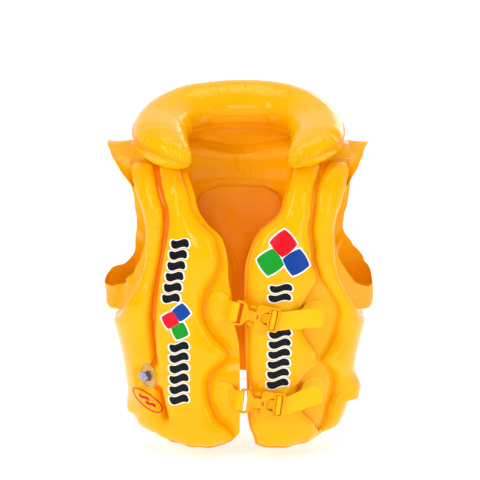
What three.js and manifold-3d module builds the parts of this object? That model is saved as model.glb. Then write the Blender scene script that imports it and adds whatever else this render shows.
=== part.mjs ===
// A child's inflatable swim vest with a head collar, two side-release buckles and three air valves.
// Millimetres, +Z up. The front of the vest faces -Y and +X is the wearer's left.
// The origin is on the axis of the wearer's torso, level with the lowest edge of the front panels.
import * as THREE from "three";
import { mergeVertices } from "three/addons/utils/BufferGeometryUtils.js";
import Module from "manifold-3d";

const wasm = await Module();
wasm.setup();

// ---------- Driving dimensions ----------
const shoulderHeight = 376; // hem to the top of the shoulders
const chest = { halfWidth: 150, halfDepth: 105, squareness: 2.6 }; // middle surface of the inflated panels
const dome = { start: 0.77, frontSquareness: 2, backSquareness: 4 }; // where the panels turn over the shoulders
const fullness = { column: 21, side: 24, back: 19, neck: 19 }; // half thickness of each kind of air chamber
const weldGap = 0.6; // between two chambers at the weld that parts them
const seatGap = 0.3; // between two pieces that touch
const vinyl = 1.2; // a welded double sheet
const collar = { halfWidth: 103, rearHeight: 53, sideHeight: 25.5, lobeHeight: 0, rearDepth: 70, lobeDepth: 92 };
const collarSection = { rearHalfHeight: 28.5, lobeHalfHeight: 25, rearHalfDepth: 26, lobeHalfWidth: 33 };
const flangeLift = 0.45; // how far the buckle flange leans off the chest, per millimetre of its width
const webbing = { width: 25, thickness: 1 };
const tab = { width: 24, thickness: 1 }; // vinyl tab looped round the receiver's bar
const buckle = { halfWidth: 15.5, halfThickness: 4.5, wall: 1.9, rail: 2.5, bar: 3 };
const receiver = { mouth: 13, housing: 16, waist: 11, plate: 6, slot: 6 }; // lengths along the buckle
const tongue = { length: 15, width: 12, thickness: 3.2, frame: 14.1, slot: 2.8 };
const arm = { width: 2.8, thickness: 3, head: 8.6, headWidth: 5, inner: 8.2 };
const valve = { seatRadius: 16, stemRadius: 6.2, bore: 3.4, stemProud: 8, stemBelow: 9, travel: 4.5, plug: 6 };
const foldLine = { y: 128 }; // the vest opens like a book about the middle of its back

// ---------- Curves ----------
// A smooth curve through [at, value] pairs, with slopes taken from the neighbouring points.
function through(points) {
  const last = points.length - 1;
  const slope = (i) => {
    const a = points[Math.max(i - 1, 0)];
    const b = points[Math.min(i + 1, last)];
    return (b[1] - a[1]) / (b[0] - a[0]);
  };
  return (at) => {
    const t = Math.min(Math.max(at, points[0][0]), points[last][0]);
    let i = 0;
    while (i < last - 1 && points[i + 1][0] < t) i++;
    const [x0, y0] = points[i];
    const [x1, y1] = points[i + 1];
    const span = x1 - x0;
    const u = (t - x0) / span;
    const rise = slope(i) * span;
    const fall = slope(i + 1) * span;
    return y0 * (1 + 2 * u) * (1 - u) ** 2 + rise * u * (1 - u) ** 2 + y1 * u * u * (3 - 2 * u) - fall * u * u * (1 - u);
  };
}

const mix = (a, b, t) => a + (b - a) * t;
const steps = (count) => Array.from({ length: count + 1 }, (_, i) => i / count);
const bunched = (t) => (1 - Math.cos(Math.PI * t)) / 2; // 0..1, closer together near both ends

// Outlines are [up, across] pairs, in hundredths of shoulderHeight and of chest.halfWidth.
const up = (share) => (share / 100) * shoulderHeight;
const across = (share) => (share / 100) * chest.halfWidth;
const outline = (pairs) => through(pairs.map(([u, a]) => [up(u), across(a)]));

// ---------- The torso's middle surface ----------
const widthAt = outline([[0, 78], [20, 82], [35, 88], [49, 99], [62, 101], [100, 100]]);

// How far the panel stands from the torso's axis in depth, before its plan curve.
function depthAt(z, isBack) {
  const start = dome.start * shoulderHeight;
  if (z <= start) return chest.halfDepth;
  const share = Math.min((z - start) / (shoulderHeight - start), 0.999);
  const power = isBack ? dome.backSquareness : dome.frontSquareness;
  return chest.halfDepth * (1 - share ** power) ** (1 / power);
}

// turn runs from 0 at the front, over 90 degrees at the side, to 180 at the back. side is -1 for the right.
function torso(side, turn, z) {
  const power = 2 / chest.squareness;
  const x = widthAt(z) * Math.abs(Math.sin(turn)) ** power;
  const y = -Math.sign(Math.cos(turn)) * Math.abs(Math.cos(turn)) ** power * depthAt(z, Math.cos(turn) < 0);
  return new THREE.Vector3(side * x, y, z);
}

function torsoNormal(side, turn, z) {
  const d = 0.01;
  const alongTurn = torso(side, turn + d, z).sub(torso(side, turn - d, z));
  const alongZ = torso(side, turn, z + 1).sub(torso(side, turn, z - 1));
  return alongTurn.cross(alongZ).multiplyScalar(side).normalize();
}

// The turn at which the surface is x from the middle plane.
function turnOf(x, z, isBack) {
  const share = Math.min(Math.abs(x) / widthAt(z), 1);
  const turn = Math.asin(share ** (chest.squareness / 2));
  return isBack ? Math.PI - turn : turn;
}

// ---------- Solids ----------
function solid(points, triangles) {
  let volume = 0;
  for (const [a, b, c] of triangles) {
    volume += points[a].dot(new THREE.Vector3().crossVectors(points[b], points[c]));
  }
  const index = volume < 0 ? triangles.map(([a, b, c]) => [a, c, b]) : triangles;
  const geometry = new THREE.BufferGeometry();
  geometry.setAttribute("position", new THREE.Float32BufferAttribute(points.flatMap((p) => p.toArray()), 3));
  geometry.setIndex(index.flat());
  return geometry;
}

// A sheet or pillow: a grid of { point, normal, half } cells, thickened to both sides of its points.
// A ring is a grid whose last row meets its first.
function quilt(rows, isRing = false) {
  const wide = rows[0].length;
  const points = [];
  for (const sign of [1, -1]) {
    for (const row of rows) {
      for (const { point, normal, half } of row) points.push(point.clone().addScaledVector(normal, sign * half));
    }
  }
  const at = (sheet, r, c) => sheet * rows.length * wide + (r % rows.length) * wide + c;
  const triangles = [];
  const quad = (a, b, c, d) => triangles.push([a, b, c], [a, c, d]);
  const rowSpans = isRing ? rows.length : rows.length - 1;
  for (let r = 0; r < rowSpans; r++) {
    for (let c = 0; c < wide - 1; c++) {
      quad(at(0, r, c), at(0, r, c + 1), at(0, r + 1, c + 1), at(0, r + 1, c));
      quad(at(1, r, c), at(1, r + 1, c), at(1, r + 1, c + 1), at(1, r, c + 1));
    }
    quad(at(0, r, 0), at(0, r + 1, 0), at(1, r + 1, 0), at(1, r, 0));
    quad(at(0, r, wide - 1), at(1, r, wide - 1), at(1, r + 1, wide - 1), at(0, r + 1, wide - 1));
  }
  if (!isRing) {
    const end = rows.length - 1;
    for (let c = 0; c < wide - 1; c++) {
      quad(at(0, 0, c), at(1, 0, c), at(1, 0, c + 1), at(0, 0, c + 1));
      quad(at(0, end, c), at(0, end, c + 1), at(1, end, c + 1), at(1, end, c));
    }
  }
  return solid(points, triangles);
}

// A closed body through rings of points, with a flat cap on each end.
function loft(rings) {
  const count = rings[0].length;
  const points = rings.flat();
  const triangles = [];
  for (let r = 0; r < rings.length - 1; r++) {
    for (let i = 0; i < count; i++) {
      const a = r * count + i;
      const b = r * count + ((i + 1) % count);
      triangles.push([a, b, b + count], [a, b + count, a + count]);
    }
  }
  for (const [r, flip] of [[0, true], [rings.length - 1, false]]) {
    const centre = rings[r].reduce((sum, p) => sum.add(p), new THREE.Vector3()).divideScalar(count);
    const hub = points.push(centre) - 1;
    for (let i = 0; i < count; i++) {
      const a = r * count + i;
      const b = r * count + ((i + 1) % count);
      triangles.push(flip ? [hub, b, a] : [hub, a, b]);
    }
  }
  return solid(points, triangles);
}

function toManifold(geometry) {
  const bare = geometry.clone();
  for (const name of Object.keys(bare.attributes)) if (name !== "position") bare.deleteAttribute(name);
  const merged = mergeVertices(bare, 1e-4);
  const vertProperties = new Float32Array(merged.attributes.position.array);
  return new wasm.Manifold(new wasm.Mesh({ numProp: 3, vertProperties, triVerts: new Uint32Array(merged.index.array) }));
}

function fromManifold(manifold) {
  const { numProp, vertProperties, triVerts } = manifold.getMesh();
  const positions = [];
  for (let i = 0; i < vertProperties.length; i += numProp) positions.push(...vertProperties.slice(i, i + 3));
  const geometry = new THREE.BufferGeometry();
  geometry.setAttribute("position", new THREE.Float32BufferAttribute(positions, 3));
  geometry.setIndex([...triVerts]);
  return geometry;
}

const cut = (body, ...cutters) => fromManifold(cutters.reduce((m, c) => m.subtract(toManifold(c)), toManifold(body)));
const join = (...bodies) => fromManifold(bodies.slice(1).reduce((m, b) => m.add(toManifold(b)), toManifold(bodies[0])));

// A block between two corners.
function block(low, high) {
  const size = high.map((h, i) => h - low[i]);
  return new THREE.BoxGeometry(...size).translate(...low.map((l, i) => l + size[i] / 2));
}

// A flat outline of [x, z] corners, extruded from y = near to y = far.
function slab(corners, near, far) {
  const shape = new THREE.Shape(corners.map(([x, z]) => new THREE.Vector2(x, z)));
  const geometry = new THREE.ExtrudeGeometry(shape, { depth: far - near, bevelEnabled: false, curveSegments: 6 });
  return geometry.rotateX(Math.PI / 2).translate(0, far, 0);
}

const mirroredOutline = (half) => [...half, ...half.map(([x, z]) => [x, -z]).reverse()];

// ---------- Materials ----------
const vinylFilm = new THREE.MeshStandardMaterial({ color: 0xffb800, roughness: 0.25, metalness: 0 });
const hemFilm = new THREE.MeshStandardMaterial({ color: 0xf7a400, roughness: 0.3, metalness: 0 });
const strapVinyl = new THREE.MeshStandardMaterial({ color: 0xffc010, roughness: 0.35, metalness: 0 });
const bucklePlastic = new THREE.MeshStandardMaterial({ color: 0xfdb400, roughness: 0.4, metalness: 0 });
const valvePlastic = new THREE.MeshStandardMaterial({ color: 0x6f78a8, roughness: 0.15, metalness: 0 });

const vest = new THREE.Group();
const place = (name, geometry, material, parent = vest) => {
  const mesh = new THREE.Mesh(geometry, material);
  mesh.name = name;
  parent.add(mesh);
  return mesh;
};
const sideName = (side) => (side < 0 ? "right" : "left");

// ---------- Weld lines ----------
// Every piece on the torso takes its rows from these courses, in hundredths of shoulderHeight, so that
// two pieces that share a weld bend at the same places along it.
const courses = [0, 3, 9, 16, 23, 30, 37, 44, 48, 54, 58, 62, 70, 78, 84, 90, 95];
const hemFade = 16; // above this course the rows are level
const between = (low, high) => courses.filter((c) => c >= low && c <= high);

const armholeWeld = outline([[0, 103], [44, 103], [48, 96], [54, 86], [58, 82], [62, 80], [70, 79], [78, 80.5],
  [84, 84.5], [90, 90], [95, 94]]);
const grooveRight = outline([[0, 58], [9, 60], [16, 63], [23, 67], [30, 69.5], [37, 71], [44, 72], [54, 70], [62, 66.5],
  [70, 62.5], [78, 61.5], [84, 64], [90, 67.5], [95, 70]]);
const pocketEdgeRight = outline([[0, 4], [3, 7], [9, 15], [16, 25], [23, 24], [30, 9], [37, 17], [44, 29], [48, 30],
  [54, 25], [58, 19], [62, 15], [70, 18], [78, 33], [84, 40], [90, 45], [95, 49]]);
const freeEdgeRight = outline([[0, 1], [16, 1], [23, 2], [30, 1], [37, 2], [44, 6], [54, 9], [58, 10], [62, 12]]);
const innerEdgeLeft = outline([[0, 16], [3, 12], [9, 8], [16, 7.4], [37, 5.6], [58, 4.6], [62, 5], [70, 11], [78, 28],
  [84, 37], [90, 41], [95, 44]]);
const grooveLeft = outline([[0, 68], [3, 66], [9, 61], [16, 49.5], [23, 50.5], [30, 65.6], [37, 55], [44, 50.5],
  [48, 52], [54, 59.5], [58, 64], [62, 61], [70, 59.3], [78, 59], [84, 61], [90, 65], [95, 69]]);
const pocketOuterLeft = outline([[0, 68.8], [3, 69.5], [9, 72], [16, 78], [23, 78.5], [30, 67.2], [37, 76], [44, 82],
  [48, 80], [54, 72], [58, 65], [62, 61], [70, 59.3], [78, 59], [84, 61], [90, 65], [95, 69]]);
const backLobeEdge = outline([[0, 1.4], [48, 1.4], [54, 2], [62, 11], [70, 29], [78, 38], [84, 34], [90, 38], [95, 42]]);

// Lower edges, in hundredths of shoulderHeight against hundredths of chest.halfWidth.
const lowerEdge = (pairs) => through(pairs.map(([a, u]) => [across(a), up(u)]));
const frontHem = lowerEdge([[0, 4.6], [8, 3], [15, 1.2], [26, 0.2], [35, 0], [50, 0.4], [66, 1.4], [76, 4], [83, 10]]);
const backWeld = lowerEdge([[0, 19.5], [45, 18], [70, 16], [83, 13.5]]);
const backHem = lowerEdge([[0, 15.7], [45, 14], [70, 11.5], [83, 8]]);

// The height of a course where it crosses x. Near the hem the courses follow the lower edge.
function courseHeight(course, x, low) {
  const fade = up(hemFade);
  const z = up(course);
  return z >= fade ? z : mix(low(Math.abs(x)), fade, z / fade);
}
function backCourseHeight(course, x) {
  const fade = up(30);
  const z = up(course);
  return z >= fade ? z : mix(backWeld(Math.abs(x)), fade, z / fade);
}

// The turn that lies half of the weld's gap from an edge, on the side that sign gives.
function insetTurn(turn, z, sign) {
  const d = 0.002;
  const speed = torso(1, turn + sign * d, z).distanceTo(torso(1, turn, z)) / d;
  return turn + (sign * weldGap) / 2 / speed;
}

// A cell of a torso piece, where a course crosses a share of the way between two edges.
function torsoCell(course, share, from, to, isBack) {
  let z = up(course);
  let turn = 0;
  for (let pass = 0; pass < 4; pass++) {
    const start = insetTurn(from(z), z, 1);
    turn = mix(start, Math.max(insetTurn(to(z), z, -1), start + 0.01), share);
    const x = torso(1, turn, z).x;
    z = isBack ? backCourseHeight(course, x) : courseHeight(course, x, frontHem);
  }
  return { turn, z };
}

const fromFront = (x) => (z) => turnOf(x(z), z, false);
const fromBack = (x) => (z) => turnOf(x(z), z, true);
const sideSeam = Math.PI / 2;

// ---------- Air chambers ----------
// A pillow on the torso between two edges, closed by a weld all round.
const ends = { taper: 28, top: courses[courses.length - 1] };
function swellAt(share, z, low, high) {
  const nearEnd = Math.min(Math.max(Math.min(z - low, high - z), 0) / ends.taper, 1);
  return Math.sqrt(Math.max(0, 1 - (2 * share - 1) ** 2)) * Math.sqrt(1 - (1 - nearEnd) ** 2);
}

function chamber(side, from, to, half, isBack = false, wide = 7) {
  return quilt(courses.map((course) => steps(wide - 1).map((u) => {
    const share = bunched(u);
    const { turn, z } = torsoCell(course, share, from, to, isBack);
    const x = torso(1, turn, z).x;
    const swell = swellAt(share, z, isBack ? backWeld(x) : frontHem(x), up(ends.top));
    return { point: torso(side, turn, z), normal: torsoNormal(side, turn, z), half: vinyl / 2 + half * swell };
  })));
}

const frontEdges = {
  right: { pocket: fromFront(pocketEdgeRight), groove: fromFront(grooveRight), pocketOuter: fromFront(grooveRight) },
  left: { pocket: fromFront(innerEdgeLeft), groove: fromFront(grooveLeft), pocketOuter: fromFront(pocketOuterLeft) },
};
const frontInner = (side) => {
  const edges = frontEdges[sideName(side)];
  return chamber(side, edges.pocket, edges.groove, fullness.column);
};
const frontOuter = (side) => {
  const edges = frontEdges[sideName(side)];
  return chamber(side, edges.pocketOuter, fromFront(armholeWeld), fullness.column);
};
// The back chamber runs round to the side seam under the arm.
const backChamber = (side) => chamber(side, fromBack(armholeWeld), fromBack(backLobeEdge), fullness.back, true);

// The roll behind the neck, between the tops of the back chambers.
function neckRoll(side) {
  const rows = [84, 87, 90, 95, 99];
  return quilt(rows.map((share, r) => steps(5).map((u) => {
    const z = up(share) + (r === 0 ? weldGap : 0);
    const x = mix(seatGap / 2, backLobeEdge(z) - weldGap, bunched(u));
    const turn = turnOf(x, z, true);
    const rise = Math.sqrt(Math.max(0, 1 - (r / 2 - 1) ** 2));
    const swell = rise * Math.sqrt(Math.max(0, 1 - bunched(u) ** 4));
    return { point: torso(side, turn, z), normal: torsoNormal(side, turn, z), half: vinyl / 2 + fullness.neck * swell };
  })));
}

// ---------- Flat welded sheets ----------
function sheetBetween(side, from, to, low, high, lift = 0, wide = 3) {
  return quilt(between(low, high).map((course) => {
    const edge = torsoCell(course, 1, from, to, false);
    const rim = torso(side, edge.turn, edge.z);
    return steps(wide - 1).map((u) => {
      const { turn, z } = torsoCell(course, u, from, to, false);
      const normal = torsoNormal(side, turn, z);
      const point = torso(side, turn, z);
      return { point: point.addScaledVector(normal, lift * Math.abs(rim.x - point.x)), normal, half: vinyl / 2 };
    });
  }));
}

// The flat flange along the right front's free edge, which carries the receiver tabs.
const flangeFree = fromFront(freeEdgeRight);
const buckleFlange = () => sheetBetween(-1, flangeFree, frontEdges.right.pocket, 3, 62, flangeLift, 5);
// The flat pockets between the left front's columns, which carry the strap pads.
const padPanel = (low, high) => sheetBetween(1, frontEdges.left.groove, frontEdges.left.pocketOuter, low, high);

// The flat window in the middle of the back, below the neck roll, and the narrow weld under it.
function backWindow(side) {
  return quilt(between(0, 84).map((course) => steps(3).map((u) => {
    const z = backCourseHeight(course, 0);
    const turn = turnOf(mix(seatGap / 2, backLobeEdge(z) - weldGap, u), z, true);
    return { point: torso(side, turn, z), normal: torsoNormal(side, turn, z), half: vinyl / 2 };
  })));
}

function backHemStrip(side) {
  return quilt(steps(6).map((u) => steps(1).map((v) => {
    const x = mix(seatGap / 2, across(82), u);
    const z = mix(backHem(x), backWeld(x) - weldGap, v);
    const turn = turnOf(x, z, true);
    return { point: torso(side, turn, z), normal: torsoNormal(side, turn, z), half: vinyl / 2 };
  })));
}

// The sheet over the shoulder that joins the front columns to the back chamber. Its rows are also
// where the armhole's hem bends.
const shoulderRows = [0, 0.25, 0.5, 0.75, 1];
function shoulderPoint(side, along, share) {
  const top = ends.top;
  const z = up(top);
  const front = torso(side, turnOf(mix(across(46), armholeWeld(z), share), z, false), z);
  const back = torso(side, turnOf(mix(across(46), armholeWeld(z), share), z, true), z);
  const point = front.lerp(back, along);
  point.z += weldGap + vinyl / 2 + (up(98.6) - z) * 4 * along * (1 - along);
  return point;
}
function shoulderPanel(side) {
  return quilt(shoulderRows.map((t) => steps(3).map((u) => ({
    point: shoulderPoint(side, t, u),
    normal: new THREE.Vector3(0, (t - 0.5) * 0.8, 1).normalize(),
    half: vinyl / 2,
  }))));
}

// The armhole's rim, from the side seam up the front, over the shoulder and down the back.
// [across, depth, up] in hundredths of chest.halfWidth, chest.halfDepth and shoulderHeight.
const rimFront = { 44: [116, -4, 51.5], 48: [109, -28, 51.5], 54: [97, -50, 54], 58: [90, -62, 59], 62: [86, -69, 63],
  70: [84, -73, 70], 78: [86, -71, 78], 84: [90, -62, 84.5], 90: [98, -50, 91], 95: [105, -34, 96.5] };
const rimTop = [[111, -18, 99.5], [114, 2, 100.3], [111, 24, 99.5]];
const rimBack = { 95: [106, 46, 96.5], 90: [102, 64, 90.5], 84: [98, 76, 84], 78: [95, 82, 77.5], 70: [94, 83, 70],
  62: [95, 78, 64.5], 58: [98, 70, 61], 54: [103, 56, 58.5], 48: [111, 30, 54.5] };

function armholeHem(side) {
  const rim = ([a, d, u]) => new THREE.Vector3(side * across(a), (d / 100) * chest.halfDepth, up(u));
  const onWeld = (course, isBack) => {
    const z = up(course);
    const turn = turnOf(armholeWeld(z), z, isBack);
    return { weld: torso(side, turn, z), normal: torsoNormal(side, turn, z) };
  };
  const climb = Object.entries(rimFront).map(([c, r]) => ({ ...onWeld(Number(c), false), rim: rim(r) }));
  const over = rimTop.map((r, i) => ({
    weld: shoulderPoint(side, shoulderRows[i + 1], 1),
    normal: new THREE.Vector3(0, 0, 1),
    rim: rim(r),
  }));
  const fall = Object.entries(rimBack).map(([c, r]) => ({ ...onWeld(Number(c), true), rim: rim(r) })).reverse();
  return quilt([...climb, ...over, ...fall].map((row) => {
    const out = new THREE.Vector3().subVectors(row.rim, row.weld);
    const start = row.weld.clone().addScaledVector(out.clone().normalize(), weldGap * 1.5);
    const across = out.clone().normalize();
    const normal = row.normal.clone().addScaledVector(across, -row.normal.dot(across)).normalize();
    return steps(2).map((t) => ({ point: start.clone().lerp(row.rim, t), normal, half: vinyl / 2 }));
  }), true);
}

// ---------- Head collar ----------
// Half of the horseshoe, from the middle of the back round to the front lobe.
const collarLine = new THREE.CatmullRomCurve3([
  new THREE.Vector3(0, collar.rearDepth, shoulderHeight + collar.rearHeight),
  new THREE.Vector3(collar.halfWidth * 0.45, collar.rearDepth * 0.93, shoulderHeight + collar.rearHeight * 0.95),
  new THREE.Vector3(collar.halfWidth * 0.86, collar.rearDepth * 0.5, shoulderHeight + collar.rearHeight * 0.74),
  new THREE.Vector3(collar.halfWidth, -5, shoulderHeight + collar.sideHeight),
  new THREE.Vector3(collar.halfWidth * 0.93, -collar.lobeDepth * 0.55, shoulderHeight + (collar.sideHeight + collar.lobeHeight) / 2),
  new THREE.Vector3(collar.halfWidth * 0.81, -collar.lobeDepth, shoulderHeight + collar.lobeHeight),
]);

function collarHalf(side, grow = 0) {
  const stations = [0, 0.14, 0.28, 0.42, 0.56, 0.7, 0.82, 0.92, 0.98, 1];
  const sides = 12;
  return loft(stations.map((s) => {
    const centre = collarLine.getPointAt(s);
    if (s === 0) centre.x += seatGap / 2;
    const forward = collarLine.getTangentAt(s);
    const outward = new THREE.Vector3(forward.y, -forward.x, 0).normalize().negate();
    const lift = new THREE.Vector3().crossVectors(forward, outward).normalize();
    const round = Math.sqrt(Math.max(0.03, 1 - Math.max(0, (s - 0.82) / 0.18) ** 2));
    const halfWidth = mix(collarSection.rearHalfDepth, collarSection.lobeHalfWidth, Math.min(1, s * 1.6)) * round + grow;
    const halfHeight = mix(collarSection.rearHalfHeight, collarSection.lobeHalfHeight, Math.min(1, s * 1.6)) * round + grow;
    return steps(sides).slice(0, sides).map((t) => {
      const angle = t * Math.PI * 2;
      const point = centre.clone()
        .addScaledVector(outward, halfWidth * Math.cos(angle))
        .addScaledVector(lift, halfHeight * Math.sin(angle));
      if (s === 0) point.x = seatGap / 2;
      point.x *= side;
      return point;
    });
  }));
}

// The flat sheet that joins the neck roll to the collar's underside.
function necklineHem(side) {
  const z = up(99);
  return quilt(steps(4).map((u) => {
    const x = mix(seatGap / 2, across(34), u);
    const low = torso(1, turnOf(x, z, true), z);
    const under = collarLine.getPointAt((x / collarLine.getLength()) * 1.02);
    const high = new THREE.Vector3(x, under.y, under.z - collarSection.rearHalfHeight - seatGap * 2);
    low.z += weldGap;
    return steps(2).map((v) => {
      const point = low.clone().lerp(high, v);
      point.x *= side;
      return { point, normal: new THREE.Vector3(0, 1, 0), half: vinyl / 2 };
    });
  }));
}

// ---------- Buckles ----------
// Along its own +X the tongue leaves the receiver. -Y faces away from the vest and Z is its width.
const mouth = receiver.mouth;
const housingStart = mouth - receiver.housing;
const waistStart = housingStart - receiver.waist;
const slotEnd = waistStart - receiver.plate;
const slotStart = slotEnd - receiver.slot;
const barEnd = slotStart - buckle.bar;
const slotHalf = webbing.width / 2 + 0.5;
const cavityHalf = { z: buckle.halfWidth - 3, y: buckle.halfThickness - buckle.wall };

function receiverBody() {
  const w = buckle.halfWidth;
  const half = [[mouth, w], [housingStart + 4, w], [housingStart, w - 2.4], [housingStart, arm.inner - 2.2],
    [waistStart + 2, arm.inner - 2.2], [waistStart, arm.inner], [waistStart - 2, w - 3], [slotEnd, w - 0.6],
    [slotEnd - 2, w], [slotStart, w], [barEnd, w - 1.2]];
  const body = slab(mirroredOutline(half), -buckle.halfThickness, buckle.halfThickness);
  const reach = buckle.halfThickness + 1;
  const notch = [[mouth + 1, 8.5], [mouth - 2, 8], [mouth - 6, 6.2], [mouth - 9, 3.4]];
  return cut(
    body,
    block([housingStart - 1, -cavityHalf.y, -cavityHalf.z], [mouth + 1, cavityHalf.y, cavityHalf.z]),
    block([slotStart, -reach, -slotHalf], [slotEnd, reach, slotHalf]),
    block([barEnd - 1, buckle.bar / 2, -slotHalf], [slotStart + 0.1, reach, slotHalf]),
    block([barEnd - 1, -reach, -slotHalf], [slotStart + 0.1, -buckle.bar / 2, slotHalf]),
    slab(mirroredOutline(notch), -reach, -cavityHalf.y + 0.1),
    block([housingStart + 1.6, -reach, -2.6], [housingStart + 3.8, -cavityHalf.y + 0.1, 2.6]),
  );
}

// The ladder-lock frame: a cross rail at the mouth, the middle bar and the end bar, between two side rails.
const frameStart = mouth + 0.4;
const innerSlot = frameStart + buckle.rail;
const middleBar = innerSlot + tongue.slot;
const outerSlot = middleBar + buckle.bar;
const endBar = outerSlot + tongue.slot;
const frameEnd = endBar + buckle.bar;
const frameHalf = buckle.halfThickness - 1.5;
const strapUnder = frameHalf + seatGap + webbing.thickness / 2; // depth of the strap below the frame
const tailUnder = strapUnder - webbing.thickness - 0.4;
const barBottom = tailUnder - webbing.thickness / 2 - seatGap;
const barTop = -1.8;
const strapOver = barTop - seatGap - webbing.thickness / 2;

function tongueBody() {
  const w = buckle.halfWidth;
  const inside = tongue.width / 2;
  const frame = slab(mirroredOutline([[frameStart, w - 0.4], [frameEnd - 2, w], [frameEnd, w - 1.5]]), -frameHalf, frameHalf);
  const framed = cut(
    frame,
    block([innerSlot, -frameHalf - 1, -slotHalf], [middleBar, frameHalf + 1, slotHalf]),
    block([outerSlot, -frameHalf - 1, -slotHalf], [endBar, frameHalf + 1, slotHalf]),
    block([innerSlot - 0.1, -frameHalf - 1, -slotHalf], [outerSlot + 0.1, barTop, slotHalf]),
    block([innerSlot - 0.1, barBottom, -slotHalf], [frameEnd + 1, frameHalf + 1, slotHalf]),
  );
  const blade = slab(mirroredOutline([[frameStart + 0.5, inside], [mouth - 5, inside], [mouth - 10, 3.6],
    [mouth - tongue.length, 3]]), -tongue.thickness / 2, tongue.thickness / 2);
  const boss = new THREE.CylinderGeometry(2.6, 2.6, 0.8, 16).translate(mouth - 4.5, -tongue.thickness / 2 - 0.2, 0);
  return join(framed, blade, boss);
}

// One spring arm with its press button, on the side of the width that sign gives.
function latchArm(sign) {
  const inner = arm.inner;
  const tip = housingStart - 0.4;
  const corners = [[mouth, inner], [mouth, inner + arm.width], [tip, inner + arm.width], [tip, inner + 0.8 + arm.headWidth],
    [tip - 1.5, inner + 0.8 + arm.headWidth], [tip - arm.head + 2, inner + arm.headWidth - 1],
    [tip - arm.head, inner + 2.6], [tip - arm.head + 1, inner + 0.8]];
  const outlineOf = corners.map(([x, z]) => [x, sign * z]);
  return slab(sign > 0 ? outlineOf : outlineOf.reverse(), -arm.thickness / 2, arm.thickness / 2);
}

// Where each buckle sits: [across, up] of its middle, and how far it leans down to the wearer's left.
const buckleSeats = {
  upper: { across: 14.5, up: 44, lean: 12.5 },
  lower: { across: 19, up: 14.7, lean: 8 },
};
const buckleDepth = -(chest.halfDepth + fullness.column + buckle.halfThickness + 4.5);

function buckleFrame({ across: a, up: u, lean }) {
  const group = new THREE.Group();
  group.position.set(across(a), buckleDepth, up(u));
  const yaw = Math.atan2(across(a), foldLine.y - buckleDepth);
  group.rotation.set(0, THREE.MathUtils.degToRad(lean), yaw, "ZYX");
  group.updateMatrixWorld(true);
  return group;
}

// A strip along a path of { point, across, half }: across is its unit width direction, half its half width.
function ribbon(path, thickness) {
  return quilt(path.map((p, i) => {
    const before = path[Math.max(i - 1, 0)].point;
    const after = path[Math.min(i + 1, path.length - 1)].point;
    const along = new THREE.Vector3().subVectors(after, before).normalize();
    const normal = new THREE.Vector3().crossVectors(along, p.across).normalize();
    return steps(2).map((t) => ({
      point: p.point.clone().addScaledVector(p.across, mix(-p.half, p.half, t)),
      normal,
      half: thickness / 2,
    }));
  }));
}

// A point that stands `proud` of the front's outer face, over a chamber, a pocket or the flange.
function skin(x, z, proud) {
  const side = Math.sign(x) || 1;
  const edges = frontEdges[sideName(side)];
  const turn = turnOf(x, z, false);
  const point = torso(side, turn, z);
  const normal = torsoNormal(side, turn, z);
  let rise = vinyl / 2;
  if (side > 0) {
    const share = (turn - edges.pocket(z)) / (edges.groove(z) - edges.pocket(z));
    if (share > 0 && share < 1) rise += fullness.column * swellAt(share, z, frontHem(Math.abs(x)), up(ends.top));
  } else {
    rise += flangeLift * Math.abs(torso(side, edges.pocket(z), z).x - x);
  }
  return point.addScaledVector(normal, rise + proud);
}

// The same, clear of the face all the way across a ribbon's width and a little towards the opening.
function clearSkin(x, z, proud, half) {
  const point = skin(x, z, proud);
  for (const reach of [-1, -0.5, 0, 0.5, 1]) {
    for (const back of [0, 0.2, 0.4]) point.y = Math.min(point.y, skin(x - back * half, z + reach * half, proud).y);
  }
  return point;
}

// A station of a ribbon, in a buckle's own frame.
const widthOf = (frame) => new THREE.Vector3(0, 0, 1).applyEuler(frame.rotation);
function local(frame, x, y, half) {
  return { point: frame.localToWorld(new THREE.Vector3(x, y, 0)), across: widthOf(frame), half };
}
const upright = new THREE.Vector3(0, 0, 1);

// The vinyl tab: a pad welded to the right flange, whose loop holds the receiver's bar.
function receiverTab(frame, pad) {
  const around = buckle.bar * Math.SQRT1_2 + seatGap + tab.thickness / 2;
  const middle = slotStart - buckle.bar / 2;
  const proud = seatGap + tab.thickness / 2;
  const shares = [[0, 0.6], [0.2, 1], [0.7, 1], [1, 0.84]];
  const flat = shares.map(([t, width]) => ({
    point: clearSkin(mix(pad.far, pad.near, t), pad.z, proud, pad.half),
    across: upright,
    half: pad.half * width,
  }));
  // The loop meets the bar where a line from the pad's end touches it.
  const padEnd = flat[flat.length - 1];
  const from = frame.worldToLocal(padEnd.point.clone());
  const bearing = Math.atan2(from.y, from.x - middle);
  const spread = Math.acos(around / Math.hypot(from.x - middle, from.y));
  const loop = steps(8).map((t) => {
    const angle = mix(bearing + spread - 2 * Math.PI, bearing - spread, t);
    return local(frame, middle + around * Math.cos(angle), around * Math.sin(angle), tab.width / 2);
  });
  const rear = loop[loop.length - 1];
  const tuck = { point: rear.point.clone().lerp(padEnd.point, 0.5), across: rear.across, half: tab.width / 2 };
  return ribbon([...flat, ...loop, tuck], tab.thickness);
}

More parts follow.
